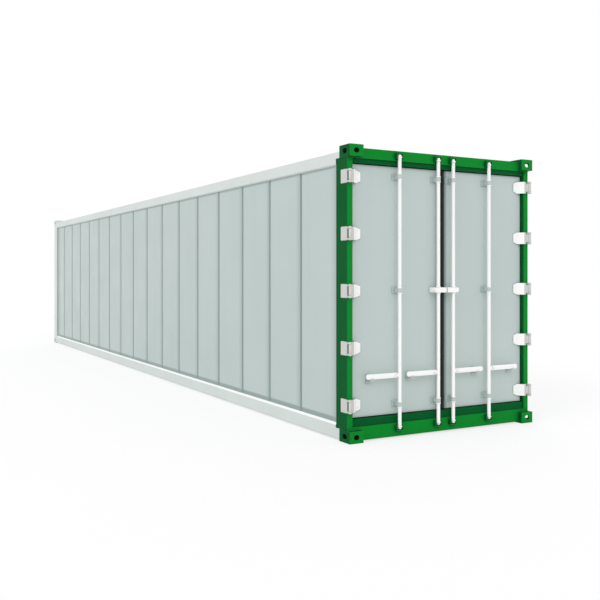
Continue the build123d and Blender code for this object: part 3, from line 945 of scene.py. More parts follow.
def soften(piece: bpy.types.Object, width: float) -> None:
    """Rounds a piece's sharp edges a little, as bent, cast or painted steel has them.

    Args:
        piece: The piece.
        width: How far each edge is rounded.
    """
    bevel = piece.modifiers.new("eased edges", "BEVEL")
    bevel.width = width
    bevel.segments = 2
    bevel.limit_method = "ANGLE"
    bevel.angle_limit = EASED_ANGLE
    bevel.harden_normals = True
    bevel.use_clamp_overlap = True


# The steel that the frame already has


@dataclass
class Steelwork:
    """The steel nodes, each given its paint and softly rounded edges."""

    MERGE: ClassVar[float] = 0.00001
    FLAT: ClassVar[float] = math.radians(0.6)

    paints: Dict[str, Finish]
    choices: Dict[str, Tuple[str, float]] = field(default_factory=lambda: {
        "door_top_castings": ("green_paint", 0.004),
        "door_bottom_castings": ("green_paint", 0.004),
        "front_top_castings": ("rail_paint", 0.004),
        "front_bottom_castings": ("rail_paint", 0.004),
        "door_header": ("green_paint", 0.004),
        "door_sill": ("green_paint", 0.004),
        "door_post": ("green_paint", 0.005),
        "front_post": ("rail_paint", 0.005),
        "front_header": ("rail_paint", 0.004),
        "front_sill": ("rail_paint", 0.004),
        "bottom_rail": ("bottom_rail_paint", 0.002),
        "top_rail": ("rail_paint", 0.005),
        "side_wall": ("side_wall_paint", 0.0009),
        "front_wall": ("front_wall_paint", 0.0009),
        "roof": ("roof_paint", 0.0009),
        "floor_crossmembers": ("underframe_coating", 0.0015),
        "door_frame": ("wall_paint", 0.003),
        "door_skin": ("leaf_paint", 0.0008),
        "hinge_lugs": ("hinge_lug_paint", 0.0018),
        "hinge_blades": ("hinge_paint", 0.002),
        "rod_guides": ("wall_paint", 0.0015),
        "rod_keepers": ("green_paint", 0.0015),
        "handle_catches": ("wall_paint", 0.0015),
        "centre_hasp": ("white_paint", 0.0025),
        "rod": ("white_paint", 0.0012),
    })

    def choice(self, node: str) -> Tuple[str, float]:
        """The paint and edge rounding of a node, by the end of its name.

        Args:
            node: The node's name.

        Returns:
            The paint's name and how far edges are rounded, or an empty name for a node that is replaced.
        """
        for ending, choice in self.choices.items():
            if node.endswith(ending):
                return choice
        return "", 0.0

    def dress(self) -> None:
        """Gives each node its paint and rounds its edges."""
        for node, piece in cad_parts.items():
            paint, ease = self.choice(node)
            if not paint:
                continue
            for place in piece.material_slots:
                place.material = self.paints[paint].material()
            self.tidy_facets(piece)
            soften(piece, ease)
            LOG.info("%s wears %s", node, paint)

    def tidy_facets(self, piece: bpy.types.Object) -> None:
        """Joins loose facets and merges flat ones, so that only true edges are rounded.

        Args:
            piece: The node's object.
        """
        weld = piece.modifiers.new("joined facets", "WELD")
        weld.merge_threshold = self.MERGE
        flat = piece.modifiers.new("flat faces", "DECIMATE")
        flat.decimate_type = "DISSOLVE"
        flat.angle_limit = self.FLAT


# Door seals


@dataclass
class DoorSeal:
    """The rubber seal of one leaf: a ribbed band round its edge and a lip at the seam."""

    BACK_RIBS: ClassVar[Tuple[Tuple[float, float], ...]] = (
        (-0.0004, 0.0), (0.0030, 0.0), (0.0075, 0.0035), (0.0075, 0.0065), (0.0032, 0.0095),
    )
    FACE_RIBS: ClassVar[Tuple[Tuple[float, float], ...]] = (
        (0.0028, -0.0250), (0.0052, -0.0220), (0.0052, -0.0190), (0.0028, -0.0160), (0.0030, -0.0090),
        (0.0075, -0.0050), (0.0075, -0.0012), (0.0040, 0.0008), (-0.0004, 0.0008),
    )
    SEAM_SHARE: ClassVar[float] = 0.9
    # The right leaf's lip is wider: black rubber that also stands in for the shade in the gap between the
    # leaves.
    LIP_WIDTHS: ClassVar[Dict[Side, float]] = {Side.LEFT: 0.0175, Side.RIGHT: 0.040}
    LIP_EDGE: ClassVar[Tuple[Tuple[float, float], ...]] = (
        (0.0, -0.0004), (-0.0003, 0.0016), (-0.0025, 0.0030),
    )
    LIP_ROOT: ClassVar[Tuple[Tuple[float, float], ...]] = (
        (0.0090, 0.0036), (0.0050, 0.0024), (0.0035, -0.0010), (0.0035, -0.0120),
        (0.0060, -0.0150), (0.0112, -0.0150), (0.0112, -0.0004),
    )

    side: Side
    rubber: Finish
    outer: float = high_end("right_door_skin", "y")
    seam: float = low_end("right_door_skin", "y")
    bottom: float = low_end("right_door_skin", "z")
    top: float = high_end("right_door_skin", "z")
    back: float = low_end("right_door_frame", "x") + 0.001
    rise: float = 0.0035

    def section(self) -> List[Tuple[float, float]]:
        """Draws the band's section, from the back to the face.

        Returns:
            Distance out from the leaf's edge, and place along X.
        """
        behind = [(out, self.back + x) for out, x in self.BACK_RIBS]
        return behind + [(out, LEAF_FACE + x) for out, x in self.FACE_RIBS]

    def band(self, work: Workpiece) -> None:
        """Runs the section round the leaf's four edges, with mitred corners.

        Args:
            work: The seal in the making.
        """
        rings = []
        corners = ((1, 1), (1, -1), (-1, -1), (-1, 1))
        for outward, upward_way in corners:
            ring = []
            for out, x in self.section():
                wide = self.outer + out if outward > 0 else self.seam - out * self.SEAM_SHARE
                high = self.top + out if upward_way > 0 else self.bottom - out
                ring.append(Vector((x, self.side.y(wide), high)))
            rings.append(ring)
        work.skin(rings, looped=True)

    def lip(self, work: Workpiece) -> None:
        """Runs a rounded strip up the seam, over the leaf's face.

        Args:
            work: The seal in the making.
        """
        wide = self.LIP_WIDTHS[self.side]
        outline = [(wide + y, x) for y, x in self.LIP_EDGE] + list(self.LIP_ROOT)
        levels = (self.bottom - self.rise, self.top + self.rise)
        work.skin([[Vector((LEAF_FACE + x, self.side.y(y), z)) for y, x in outline] for z in levels])

    def build(self) -> None:
        """Makes the seal in the place of the frame's plain one."""
        work = Workpiece(f"{self.side.word}_door_seal")
        self.band(work)
        self.lip(work)
        seal = work.done(f"{self.side.word}_door", self.rubber)
        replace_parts(seal, f"{self.side.word}_door_gasket")


# Door fittings


@dataclass
class HingeFittings:
    """Pin caps, strap bolts and the welds that hold the hinge plates to the post."""

    HINGES: ClassVar[int] = 5
    CAP: ClassVar[Tuple[Tuple[float, float], ...]] = (
        (0.0125, -0.0005), (0.0125, 0.0022), (0.0110, 0.0036), (0.0065, 0.0048), (0.0015, 0.0052),
    )
    BEAD: ClassVar[float] = 0.0032
    BEAD_PROUD: ClassVar[float] = 0.0015
    BEAD_OUTSIDE: ClassVar[float] = 0.001
    BEAD_STOP: ClassVar[float] = 0.004
    BOLTS: ClassVar[Tuple[Tuple[float, float], ...]] = ((1.112, 0.040), (1.060, 0.026))
    DOME: ClassVar[Tuple[float, float]] = (0.0085, 0.0042)

    side: Side
    paint: Finish
    plate_paint: Finish
    half: float = 0.064
    lowest: float = low_end("right_hinge_blades", "z")
    highest: float = high_end("right_hinge_blades", "z")
    pin_x: float = high_end("right_hinge_lugs", "x") - 0.016
    pin_y: float = high_end("right_hinge_lugs", "y") - 0.016
    plate_back: float = low_end("right_hinge_lugs", "x")
    strap_face: float = LEAF_FACE + 0.010

    def levels(self) -> List[float]:
        """The level of each hinge, from the lowest to the highest."""
        first, last = self.lowest + self.half, self.highest - self.half
        return [first + (last - first) * n / (self.HINGES - 1) for n in range(self.HINGES)]

    def caps(self, work: Workpiece, level: float) -> None:
        """Puts a turned cap on both ends of a hinge pin.

        Args:
            work: The caps in the making.
            level: The hinge's level.
        """
        y = self.side.y(self.pin_y)
        work.turned(upward(self.pin_x, y, level + self.half), self.CAP)
        work.turned(downward(self.pin_x, y, level - self.half), self.CAP)

    def welds(self, work: Workpiece, level: float) -> None:
        """Lays beads round a hinge plate on the post's side.

        Args:
            work: The beads in the making.
            level: The hinge's level.
        """
        y = self.side.y(POST_SIDE + self.BEAD_PROUD)
        back, front = self.plate_back - self.BEAD_OUTSIDE, POST_FACE - self.BEAD_STOP
        for way in (1, -1):
            z = level + way * (self.half + self.BEAD_OUTSIDE)
            work.bead((back, y, z), (front, y, z), self.BEAD)
        work.bead((back, y, level - self.half), (back, y, level + self.half), self.BEAD)

    def bolts(self, work: Workpiece, level: float) -> None:
        """Sets four domed bolts through the strap on the leaf.

        Args:
            work: The bolts in the making.
            level: The hinge's level.
        """
        for y, high in self.BOLTS:
            for way in (1, -1):
                work.dome(ahead(self.strap_face, self.side.y(y), level + way * high), *self.DOME)

    def build(self) -> None:
        """Makes the fittings of all hinges on this side."""
        fixed = Workpiece(f"{self.side.word}_hinge_caps")
        beads = Workpiece(f"{self.side.word}_hinge_welds")
        moving = Workpiece(f"{self.side.word}_hinge_bolts")
        for level in self.levels():
            self.caps(fixed, level)
            self.welds(beads, level)
            self.bolts(moving, level)
        fixed.done("container", self.plate_paint)
        beads.done("container", self.plate_paint)
        moving.done(f"{self.side.word}_door", self.paint)


@dataclass
class RodFittings:
    """Guide bolts on a leaf and the collars that keep its rods from sliding."""

    BOLT: ClassVar[float] = 0.0062
    ACROSS: ClassVar[float] = 0.0315
    RISE: ClassVar[float] = 0.021
    LOOSE: ClassVar[float] = 0.0012
    BORE: ClassVar[float] = 0.0174
    RIM: ClassVar[float] = 0.0228
    THICK: ClassVar[float] = 0.012
    CHAMFER: ClassVar[float] = 0.0014
    COLLAR_SIDES: ClassVar[int] = 32

    side: Side
    paint: Finish
    leaf_paint: Finish
    low_level: float = low_end("right_rod_guides", "z") + 0.032
    high_level: float = high_end("right_rod_guides", "z") - 0.032
    plate_face: float = LEAF_FACE + 0.005
    guide_half: float = 0.020
    hasp_half: float = 0.026

    def guides(self) -> List[Tuple[float, float]]:
        """Each guide's rod and level."""
        outer = [(OUTER_ROD, level) for level in (self.low_level, LEAF_MIDDLE, self.high_level)]
        return outer + [(INNER_ROD, level) for level in (self.low_level, self.high_level)]

    def plate_bolts(self) -> None:
        """Sets four bolts through each guide's plate."""
        work = Workpiece(f"{self.side.word}_guide_bolts")
        for rod, level in self.guides():
            for across in (-self.ACROSS, self.ACROSS):
                for rise in (-self.RISE, self.RISE):
                    work.bolt(ahead(self.plate_face, self.side.y(rod) + across, level + rise), self.BOLT)
        work.done(f"{self.side.word}_door", self.leaf_paint)

    def collars(self, name: str, rod: float, levels: Sequence[Tuple[float, float]]) -> None:
        """Puts a collar above and below each place that holds a rod.

        Args:
            name: Which rod it is, inner or outer.
            rod: How far the rod is from the middle.
            levels: Each holding place's level and half height.
        """
        work = Workpiece(f"{self.side.word}_{name}_rod_collars")
        inset = self.RIM - self.CHAMFER
        profile = [
            (self.BORE, 0.0), (inset, 0.0), (self.RIM, self.CHAMFER),
            (self.RIM, self.THICK - self.CHAMFER), (inset, self.THICK), (self.BORE, self.THICK),
        ]
        for level, half in levels:
            y = self.side.y(rod)
            above, below = level + half + self.LOOSE, level - half - self.LOOSE
            work.turned(upward(ROD_X, y, above), profile, self.COLLAR_SIDES)
            work.turned(downward(ROD_X, y, below), profile, self.COLLAR_SIDES)
        work.done(f"{self.side.word}_{name}_rod", self.paint)

    def build(self) -> None:
        """Makes the bolts and collars of one leaf."""
        self.plate_bolts()
        ends = [(self.low_level, self.guide_half), (self.high_level, self.guide_half)]
        self.collars("outer", OUTER_ROD, ends + [(LEAF_MIDDLE, self.guide_half)])
        self.collars("inner", INNER_ROD, ends + [(LEAF_MIDDLE, self.hasp_half)])


@dataclass
class Handle:
    """One flat handle with rolled edges, and the rivet it turns on."""

    SIDES: ClassVar[int] = 24
    ROLL: ClassVar[Tuple[float, float]] = (0.42, 0.62)
    PLACES: ClassVar[Tuple[float, ...]] = (0.0, 0.0012, 0.0035, 0.0075, 0.0125, 0.019, 0.032, 0.06, 0.09)
    TIP: ClassVar[float] = 0.0000012
    WAIST_START: ClassVar[float] = 0.055
    WAIST: ClassVar[Tuple[float, float]] = (0.98, 0.96)
    THIN_END: ClassVar[float] = 0.45
    THINNING: ClassVar[float] = 0.006
    WASHER: ClassVar[Tuple[Tuple[float, float], ...]] = (
        (0.0135, -0.0005), (0.0135, 0.0016), (0.0125, 0.0022),
    )
    DOME: ClassVar[Tuple[float, float]] = (0.0095, 0.0052)
    DOME_OUT: ClassVar[float] = 0.002

    side: Side
    name: str
    rod: float
    paint: Finish
    level: float = (low_end("right_inner_handle", "z") + high_end("right_inner_handle", "z")) / 2
    pivot: float = 0.044
    reach: float = 0.410
    thick: float = 0.012
    height: float = 0.052
    cheek_face: float = ROD_X + 0.012

    def ring(self, y: float, thick: float, height: float) -> List[Vector]:
        """A rounded oblong section across the handle.

        Args:
            y: The section's distance from the middle of the container.
            thick: Its thickness.
            height: Its height.

        Returns:
            The section's points.
        """
        points = []
        for n in range(self.SIDES):
            angle = 2 * math.pi * n / self.SIDES
            x = ROD_X + thick / 2 * squared(math.cos(angle), self.ROLL[0])
            z = self.level + height / 2 * squared(math.sin(angle), self.ROLL[1])
            points.append(Vector((x, self.side.y(y), z)))
        return points

    def bar(self) -> bpy.types.Object:
        """Makes the bar, with rounded ends and a slightly thinner middle.

        Returns:
            The bar.
        """
        work = Workpiece(f"{self.side.word}_{self.name}_handle_bar")
        radius = self.height / 2
        start = self.rod + self.pivot - radius
        length = self.reach - self.pivot + radius
        places = [*self.PLACES, 0.5 * length, *(length - place for place in reversed(self.PLACES))]
        rings = []
        for place in places:
            from_end = min(place, length - place)
            dip = max(0.0, radius - from_end)
            high = 2 * math.sqrt(max(radius * radius - dip * dip, self.TIP))
            thick = self.thick * min(1.0, self.THIN_END + from_end / self.THINNING)
            if from_end > self.WAIST_START:
                thick, high = thick * self.WAIST[0], high * self.WAIST[1]
            rings.append(self.ring(start + place, thick, high))
        work.skin(rings)
        return work.done(f"{self.side.word}_{self.name}_handle", self.paint)

    def rivet(self) -> None:
        """Sets the pivot's domed head on the front of the rod's hub."""
        work = Workpiece(f"{self.side.word}_{self.name}_handle_rivet")
        y = self.side.y(self.rod + self.pivot)
        work.turned(ahead(self.cheek_face, y, self.level), self.WASHER)
        work.dome(ahead(self.cheek_face + self.DOME_OUT, y, self.level), *self.DOME)
        work.done(f"{self.side.word}_{self.name}_rod", self.paint)

    def build(self) -> None:
        """Makes the handle in the place of the frame's plain one."""
        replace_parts(self.bar(), f"{self.side.word}_{self.name}_handle")
        self.rivet()


@dataclass
class CatchFittings:
    """The swinging tongue and bolts of the catches that the handles rest on."""

    SIDES: ClassVar[int] = 20
    ROLL: ClassVar[Tuple[float, float]] = (0.5, 0.7)
    TONGUE: ClassVar[Point] = (0.017, 0.013, 0.0045)
    TONGUE_DROP: ClassVar[float] = 0.004
    RIVET: ClassVar[Tuple[float, float]] = (0.0055, 0.003)
    RIVET_DROP: ClassVar[float] = 0.005
    BOLT: ClassVar[float] = 0.0052
    ACROSS: ClassVar[float] = 0.011
    DROPS: ClassVar[Tuple[float, float]] = (0.020, -0.032)
    EASE: ClassVar[float] = 0.0008

    side: Side
    paint: Finish
    from_rod: float = low_end("right_handle_catches", "y") + 0.020 - INNER_ROD
    level: float = (low_end("right_handle_catches", "z") + high_end("right_handle_catches", "z")) / 2
    plate_face: float = LEAF_FACE + 0.006
    shelf_front: float = ROD_X + 0.006

    def tongue(self, work: Workpiece, y: float) -> None:
        """Makes the rounded lip at a shelf's front, with its rivet below.

        Args:
            work: The catch fittings in the making.
            y: The catch's place across the container.
        """
        half, tall, thick = self.TONGUE
        rings = []
        for x in (self.shelf_front, self.shelf_front + thick):
            ring = []
            for n in range(self.SIDES):
                angle = 2 * math.pi * n / self.SIDES
                across = half * squared(math.cos(angle), self.ROLL[0])
                rise = tall * squared(math.sin(angle), self.ROLL[1])
                ring.append(Vector((x, y + across, self.level - self.TONGUE_DROP + rise)))
            rings.append(ring)
        work.skin(rings)
        work.dome(ahead(self.shelf_front + thick, y, self.level - self.RIVET_DROP), *self.RIVET)

    def build(self) -> None:
        """Makes the catch fittings of one leaf."""
        work = Workpiece(f"{self.side.word}_catch_fittings")
        for rod in (INNER_ROD, OUTER_ROD):
            y = self.side.y(rod + self.from_rod)
            self.tongue(work, y)
            for across in (-self.ACROSS, self.ACROSS):
                for drop in self.DROPS:
                    work.bolt(ahead(self.plate_face, y + across, self.level - drop), self.BOLT)
        work.done(f"{self.side.word}_door", self.paint, self.EASE)


# The container's own fittings


@dataclass
class FrameWelds:
    """Weld beads where posts, beams and castings of the frame meet."""

    THICK: ClassVar[float] = 0.0038
    THIN: ClassVar[float] = 0.0032
    FINE: ClassVar[float] = 0.003
    PROUD: ClassVar[float] = 0.0012
    SUNK: ClassVar[float] = 0.0004
    BESIDE: ClassVar[float] = 0.001
    STOP: ClassVar[float] = 0.004

    green: Finish
    pale: Finish
    casting_back: float = low_end("door_top_castings", "x")
    casting_inner: float = high_end("door_top_castings", "y") - 0.162
    low_casting: float = high_end("door_bottom_castings", "z")
    high_casting: float = low_end("door_top_castings", "z")
    header_top: float = high_end("door_header", "z")
    header_step: float = high_end("door_header", "z") - 0.101
    sill_bottom: float = low_end("door_sill", "z")
    sill_step: float = low_end("door_sill", "z") + 0.136
    front_face: float = low_end("right_front_post", "x") - 0.0006
    front_side: float = high_end("right_front_post", "y") - SUNK
    front_inner: float = low_end("right_front_post", "y") + 0.003
    front_back: float = high_end("right_front_post", "x") - STOP
    rail_bottom: float = low_end("right_bottom_rail", "z") + 0.006
    rail_top: float = high_end("right_top_rail", "z") - STOP

    def door_corner(self, work: Workpiece, side: Side) -> None:
        """Lays beads where a door post meets its two castings.

        Args:
            work: The beads in the making.
            side: The corner's side.
        """
        outer, inner = side.y(POST_SIDE + self.PROUD), side.y(self.casting_inner)
        front = POST_FACE + self.PROUD
        for z in (self.low_casting + self.PROUD, self.high_casting - self.PROUD):
            work.bead((self.casting_back, outer, z), (front, outer, z), self.THICK)
            work.bead((front, outer, z), (front, inner, z), self.THICK)

    def beam_ends(self, work: Workpiece, side: Side) -> None:
        """Lays upright beads where the header and sill meet a post.

        Args:
            work: The beads in the making.
            side: The post's side.
        """
        y = side.y(POST_INNER - self.SUNK)
        front = POST_FACE + self.SUNK
        work.bead((front, y, self.header_step), (front, y, self.high_casting), self.THIN)
        work.bead((front, y, self.low_casting), (front, y, self.sill_step), self.THIN)

    def casting_ends(self, work: Workpiece, side: Side) -> None:
        """Lays beads where the header and sill meet the castings' inner faces.

        Args:
            work: The beads in the making.
            side: The castings' side.
        """
        y = side.y(self.casting_inner - self.PROUD)
        front = POST_FACE + self.PROUD
        work.bead((front, y, self.high_casting), (front, y, self.header_top - self.STOP), self.THICK)
        work.bead((front, y, self.sill_bottom + self.STOP), (front, y, self.low_casting), self.THICK)

    def front_corner(self, work: Workpiece, side: Side) -> None:
        """Lays beads where a front post meets its castings.

        Args:
            work: The beads in the making.
            side: The corner's side.
        """
        outer, inner = side.y(self.front_side), side.y(self.front_inner)
        front = self.front_face
        for z in (self.low_casting + self.BESIDE, self.high_casting - self.BESIDE):
            work.bead((front, outer, z), (self.front_back, outer, z), self.THIN)
            work.bead((front, inner, z), (front, outer, z), self.THIN)

    def rail_ends(self, work: Workpiece, side: Side) -> None:
        """Lays beads where the side rails meet the castings at both ends.

        Args:
            work: The beads in the making.
            side: The rails' side.
        """
        outer = side.y(self.front_side)
        for way in (1, -1):
            x = way * (self.casting_back - self.BESIDE)
            work.bead((x, outer, self.rail_bottom), (x, outer, self.low_casting), self.FINE)
            work.bead((x, outer, self.high_casting), (x, outer, self.rail_top), self.FINE)

    def build(self) -> None:
        """Makes the beads of both ends."""
        green = Workpiece("door_end_welds")
        pale = Workpiece("rail_and_front_welds")
        for side in Side:
            self.door_corner(green, side)
            self.beam_ends(green, side)
            self.casting_ends(green, side)
            self.front_corner(pale, side)
            self.rail_ends(pale, side)
        green.done("container", self.green)
        pale.done("container", self.pale)


@dataclass
class Floor:
    """The board floor: planks with fine seams, screwed to the crossmembers."""

    FIRST_CUTS: ClassVar[Tuple[int, int]] = (3, 5)
    BETWEEN_CUTS: ClassVar[int] = 7
    FROM_EDGE: ClassVar[float] = 0.045
    STAGGER: ClassVar[float] = 0.012
    HEAD: ClassVar[Tuple[Tuple[float, float], ...]] = ((0.0068, -0.0004), (0.0060, 0.0003))
    HEAD_SIDES: ClassVar[int] = 8

    board: Finish
    screw: Finish
    nose: float = low_end("floor_deck", "x")
    back: float = high_end("floor_deck", "x")
    half_width: float = high_end("floor_deck", "y")
    nose_half_width: float = low_end("right_front_post", "y")
    bottom: float = low_end("floor_deck", "z")
    top: float = high_end("floor_deck", "z")
    planks: int = 8
    seam: float = 0.0022
    joist_first: float = low_end("floor_crossmembers", "x") + 0.0225
    joist_step: float = BAY / 2
    joists: int = 2 * BAYS - 1

    def edges(self, plank: int) -> Tuple[float, float]:
        """The two long edges of one plank.

        Args:
            plank: Which plank it is, from one side.

        Returns:
            The places of its edges across the container.
        """
        width = 2 * self.half_width / self.planks
        low = -self.half_width + plank * width
        return low + self.seam / 2, low + width - self.seam / 2

    def lay(self, work: Workpiece, plank: int) -> None:
        """Lays one row of planks, its joints staggered against the next row's.

        Args:
            work: The floor in the making.
            plank: Which row it is, from one side.
        """
        low, high = self.edges(plank)
        first = self.FIRST_CUTS[plank % 2]
        joints = range(first, self.joists, self.BETWEEN_CUTS)
        cuts = [WALL_FRONT, *(self.joist_first + self.joist_step * n for n in joints), self.back]
        for start, end in zip(cuts, cuts[1:]):
            work.slab((start + self.seam / 2, low, self.bottom), (end - self.seam / 2, high, self.top))
        nose_low = max(low, -self.nose_half_width)
        nose_high = min(high, self.nose_half_width)
        work.slab((self.nose, nose_low, self.bottom), (WALL_FRONT - self.seam / 2, nose_high, self.top))

    def screws(self, work: Workpiece) -> None:
        """Sets two countersunk heads in each plank over each crossmember.

        Args:
            work: The screws in the making.
        """
        for plank in range(self.planks):
            low, high = self.edges(plank)
            for n in range(self.joists):
                x = self.joist_first + self.joist_step * n + (self.STAGGER if n % 2 else -self.STAGGER)
                for y in (low + self.FROM_EDGE, high - self.FROM_EDGE):
                    work.turned(upward(x, y, self.top), self.HEAD, self.HEAD_SIDES)

    def build(self) -> None:
        """Makes the floor in the place of the frame's plain one."""
        boards = Workpiece("floor_planks")
        for plank in range(self.planks):
            self.lay(boards, plank)
        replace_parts(boards.done("container", self.board), "floor_deck")
        heads = Workpiece("floor_screws")
        self.screws(heads)
        heads.done("container", self.screw)


@dataclass
class LashingRings:
    """Bent-bar rings for cargo straps, welded to the bottom rail beside the floor."""

    BENDS: ClassVar[int] = 12

    steel: Finish
    y: float = 1.184
    foot: float = WALL_FOOT + 0.0005
    rise: float = 0.074
    half_width: float = 0.032
    bar: float = 0.005

    def path(self, x: float, y: float) -> List[Vector]:
        """The line of one ring, up one leg, round and down the other.

        Args:
            x: Where its middle is along the container.
            y: Where it is across the container.

        Returns:
            The line's points.
        """
        shoulder = self.foot + self.rise - self.half_width
        line = [Vector((x - self.half_width, y, self.foot))]
        for n in range(self.BENDS + 1):
            angle = math.pi * (1 - n / self.BENDS)
            across, up = math.cos(angle), math.sin(angle)
            line.append(Vector((x + self.half_width * across, y, shoulder + self.half_width * up)))
        line.append(Vector((x + self.half_width, y, self.foot)))
        return line

    def build(self) -> None:
        """Makes a ring in the middle of every other bay, on both sides."""
        work = Workpiece("lashing_rings")
        for side in Side:
            for n in range(1, BAYS, 2):
                x = WALL_FRONT + BAY * (n + 0.5)
                work.bent_bar(self.path(x, side.y(self.y)), Vector((0, 1, 0)), self.bar)
        work.done("container", self.steel)


# Light, floor and camera


def plain_rays(nodes: bpy.types.Nodes, links: bpy.types.NodeLinks) -> bpy.types.NodeSocket:
    """Finds the rays that show the background itself: straight, mirrored or through glass.

    Args:
        nodes: The nodes of the material or world.
        links: Their links.

    Returns:
        1 for such a ray, 0 for one that only brings light.
    """
    paths = nodes.new("ShaderNodeLightPath")
    seen = paths.outputs["Is Camera Ray"]
    for name in ("Is Glossy Ray", "Is Transmission Ray"):
        either = nodes.new("ShaderNodeMath")
        either.operation = "MAXIMUM"
        links.new(seen, either.inputs[0])
        links.new(paths.outputs[name], either.inputs[1])
        seen = either.outputs["Value"]
    return seen


@dataclass(frozen=True)
class Lamp:
    """A soft distant lamp."""

    name: str
    towards: Point
    strength: float
    softness: float

    def hang(self) -> None:
        """Puts the lamp in the scene."""
        data = bpy.data.lights.new(self.name, "SUN")
        data.energy = self.strength
        data.angle = math.radians(self.softness)
        lamp = bpy.data.objects.new(self.name, data)
        lamp.rotation_euler = Vector(self.towards).to_track_quat("-Z", "Y").to_euler()
        bpy.context.collection.objects.link(lamp)


@dataclass
class Studio:
    """A white sweep, even soft light and the camera where the drawing is seen from."""

    LAMPS: ClassVar[Tuple[Lamp, ...]] = (
        Lamp("door side lamp", (-1.0, 0.25, -0.75), 0.65, 35.0),
        Lamp("long side lamp", (-0.25, 1.0, -0.75), 0.65, 35.0),
        Lamp("far side lamp", (0.8, -0.6, -0.6), 0.38, 50.0),
    )
    SKY: ClassVar[float] = 0.745
    FLOOR_TONE: ClassVar[float] = 0.82
    FLOOR_ROUGHNESS: ClassVar[float] = 0.9
    FLOOR_GLOW: ClassVar[float] = 1.105
    FLOOR_SHARE: ClassVar[float] = 0.6
    FLOOR_REACH: ClassVar[float] = 60.0
    CAMERA_PLACE: ClassVar[Point] = (12.138, -5.454, 1.647)
    CAMERA_TURN: ClassVar[float] = math.radians(26.81)
    SENSOR: ClassVar[float] = 36.0
    IMAGE_WIDTH: ClassVar[float] = 600.0
    FOCUS: ClassVar[float] = 760.3
    SHIFT: ClassVar[Tuple[float, float]] = (0.10, -0.0447)
    FAR: ClassVar[float] = 300.0

    def world(self) -> None:
        """Lights everything evenly, and shows white where the camera sees past the floor."""
        world = bpy.data.worlds.new("even sky")
        world.use_nodes = True
        bpy.context.scene.world = world
        nodes, links = world.node_tree.nodes, world.node_tree.links
        strength = nodes.new("ShaderNodeMapRange")
        links.new(plain_rays(nodes, links), strength.inputs["Value"])
        strength.inputs["To Min"].default_value = self.SKY
        strength.inputs["To Max"].default_value = 1.0
        links.new(strength.outputs["Result"], nodes["Background"].inputs["Strength"])
        nodes["Background"].inputs["Color"].default_value = (1.0, 1.0, 1.0, 1.0)

    def floor_paint(self) -> bpy.types.Material:
        """Mixes the floor's paint, which glows for the camera so that it shows white.

        Returns:
            The material.
        """
        sheet = NodeSheet("pale floor")
        sheet.shader.inputs["Base Color"].default_value = (*[self.FLOOR_TONE] * 3, 1)
        sheet.shader.inputs["Roughness"].default_value = self.FLOOR_ROUGHNESS
        sheet.shader.inputs["Specular IOR Level"].default_value = 0.0
        glow = sheet.nodes.new("ShaderNodeEmission")
        glow.inputs["Strength"].default_value = self.FLOOR_GLOW
        both = sheet.nodes.new("ShaderNodeMixShader")
        seen = plain_rays(sheet.nodes, sheet.links)
        sheet.join(sheet.math("MULTIPLY", seen, self.FLOOR_SHARE), both.inputs["Fac"])
        sheet.join(sheet.shader.outputs["BSDF"], both.inputs[1])
        sheet.join(glow.outputs["Emission"], both.inputs[2])
        sheet.join(both.outputs["Shader"], sheet.nodes["Material Output"].inputs["Surface"])
        return sheet.material

    def floor(self) -> None:
        """Spreads a pale floor that shows white apart from the container's shadow."""
        work = bmesh.new()
        reach = self.FLOOR_REACH
        for x, y in ((-reach, -reach), (reach, -reach), (reach, reach), (-reach, reach)):
            work.verts.new((x, y, 0.0))
        work.faces.new(work.verts[:])
        data = bpy.data.meshes.new("studio_floor")
        work.to_mesh(data)
        work.free()
        data.materials.append(self.floor_paint())
        floor = bpy.data.objects.new("studio_floor", data)
        bpy.context.collection.objects.link(floor)

    def camera(self) -> None:
        """Sets the camera level, close to the left corner of the door end."""
        data = bpy.data.cameras.new("drawing view")
        data.sensor_width = self.SENSOR
        data.sensor_fit = "HORIZONTAL"
        data.lens = self.FOCUS / self.IMAGE_WIDTH * self.SENSOR
        data.shift_x, data.shift_y = self.SHIFT
        data.clip_end = self.FAR
        camera = bpy.data.objects.new("drawing view", data)
        look = Vector((-math.cos(self.CAMERA_TURN), math.sin(self.CAMERA_TURN), 0.0))
        camera.location = self.CAMERA_PLACE
        camera.rotation_euler = look.to_track_quat("-Z", "Y").to_euler()
        bpy.context.collection.objects.link(camera)
        bpy.context.scene.camera = camera

    def set_up(self) -> None:
        """Sets up the sky, the floor, the lamps and the camera."""
        self.world()
        self.floor()
        for lamp in self.LAMPS:
            lamp.hang()
        self.camera()
        bpy.context.scene.view_settings.view_transform = "Standard"


# Building


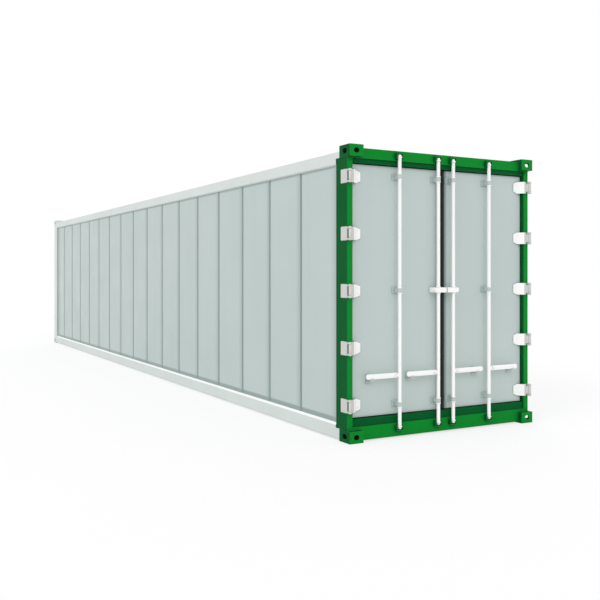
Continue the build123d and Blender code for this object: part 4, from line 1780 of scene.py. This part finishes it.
def finishes() -> Dict[str, Finish]:
    """Lists every paint and material of the container.

    Returns:
        The finishes, by name.
    """
    # The third colour of each paint is its painted shade's colour, for its corners, joints and the shaded
    # bands beside rails, posts and seams.
    white = srgb(251, 251, 250)
    panel = (srgb(192, 204, 201), srgb(184, 197, 195), srgb(146, 163, 162))
    rail = (srgb(216, 223, 220), srgb(207, 215, 212), srgb(150, 162, 166))
    return {
        # The door end's green: lit on its foremost faces, with its dark colour as painted shade on the sides
        # and lips.
        "green_paint": LitAndShadedPaint(
            "door_end_green", srgb(10, 136, 45), srgb(9, 126, 42), srgb(4, 88, 34),
            dark=srgb(0, 89, 40), shade_strength=0.55, sheen=0.05,
            rubbed=srgb(92, 126, 100), rub_reach=0.004,
        ),
        "wall_paint": SprayedPaint("panel_grey", *panel),
        "leaf_paint": LeafPaint("leaf_grey", *panel[:2], srgb(112, 130, 129)),
        "side_wall_paint": SheetPaint("side_wall_grey", *panel[:2], srgb(147, 162, 160), long_side=True),
        "front_wall_paint": SheetPaint(
            "front_wall_grey", *panel,
            depth_axis="X", face=-low_end("front_wall", "x"), foot=low_end("front_wall", "z"),
        ),
        "roof_paint": SheetPaint(
            "roof_grey", *panel,
            depth_axis="Z", face=high_end("roof", "z"), joint_half=0.010, framed=False,
        ),
        "rail_paint": SprayedPaint("rail_grey", *rail),
        # Nearly white painted highlight on the bottom rail's sloping top.
        "bottom_rail_paint": HighlitLedgePaint("bottom_rail_grey", *rail, ledge_highlight=srgb(250, 252, 251)),
        "white_paint": SprayedPaint(
            "fitting_white", white, srgb(248, 249, 248), srgb(170, 175, 176),
            streaks=0.15, shade_strength=0.6, rubbed=srgb(176, 179, 180), rub_reach=0.003,
        ),
        "hinge_paint": BladePaint(
            "strap_white", white, srgb(248, 248, 248), srgb(175, 177, 176),
            streaks=0.15, shade_strength=0.5, over_post=srgb(207, 207, 204),
            rubbed=srgb(172, 174, 175), rub_reach=0.003,
        ),
        "hinge_lug_paint": SprayedPaint(
            "hinge_plate_grey", srgb(207, 207, 204), srgb(200, 200, 197), srgb(130, 140, 134),
            streaks=0.15,
        ),
        "seal_rubber": SealRubber("seal_rubber", srgb(22, 24, 25), srgb(58, 60, 60)),
        "floor_board": FloorBoard("varnished_floor_board", srgb(150, 104, 62), srgb(96, 60, 34)),
        "underframe_coating": Undercoat("underframe_coat", srgb(52, 53, 54), srgb(92, 90, 86)),
        "plated_steel": PlatedSteel("plated_steel", srgb(188, 190, 192)),
    }


def main() -> None:
    """Dresses the container, piece by piece."""
    logging.basicConfig(level=logging.INFO, format="%(name)s: %(message)s")
    kit = finishes()
    white, plate, leaf = kit["white_paint"], kit["hinge_lug_paint"], kit["wall_paint"]
    Steelwork(kit).dress()
    for side in Side:
        DoorSeal(side, kit["seal_rubber"]).build()
        HingeFittings(side, kit["hinge_paint"], plate).build()
        RodFittings(side, white, leaf).build()
        Handle(side, "inner", INNER_ROD, white).build()
        Handle(side, "outer", OUTER_ROD, white).build()
        CatchFittings(side, leaf).build()
    FrameWelds(kit["green_paint"], kit["rail_paint"]).build()
    Floor(kit["floor_board"], kit["plated_steel"]).build()
    LashingRings(kit["rail_paint"]).build()
    Studio().set_up()


if __name__ == "__main__":
    main()
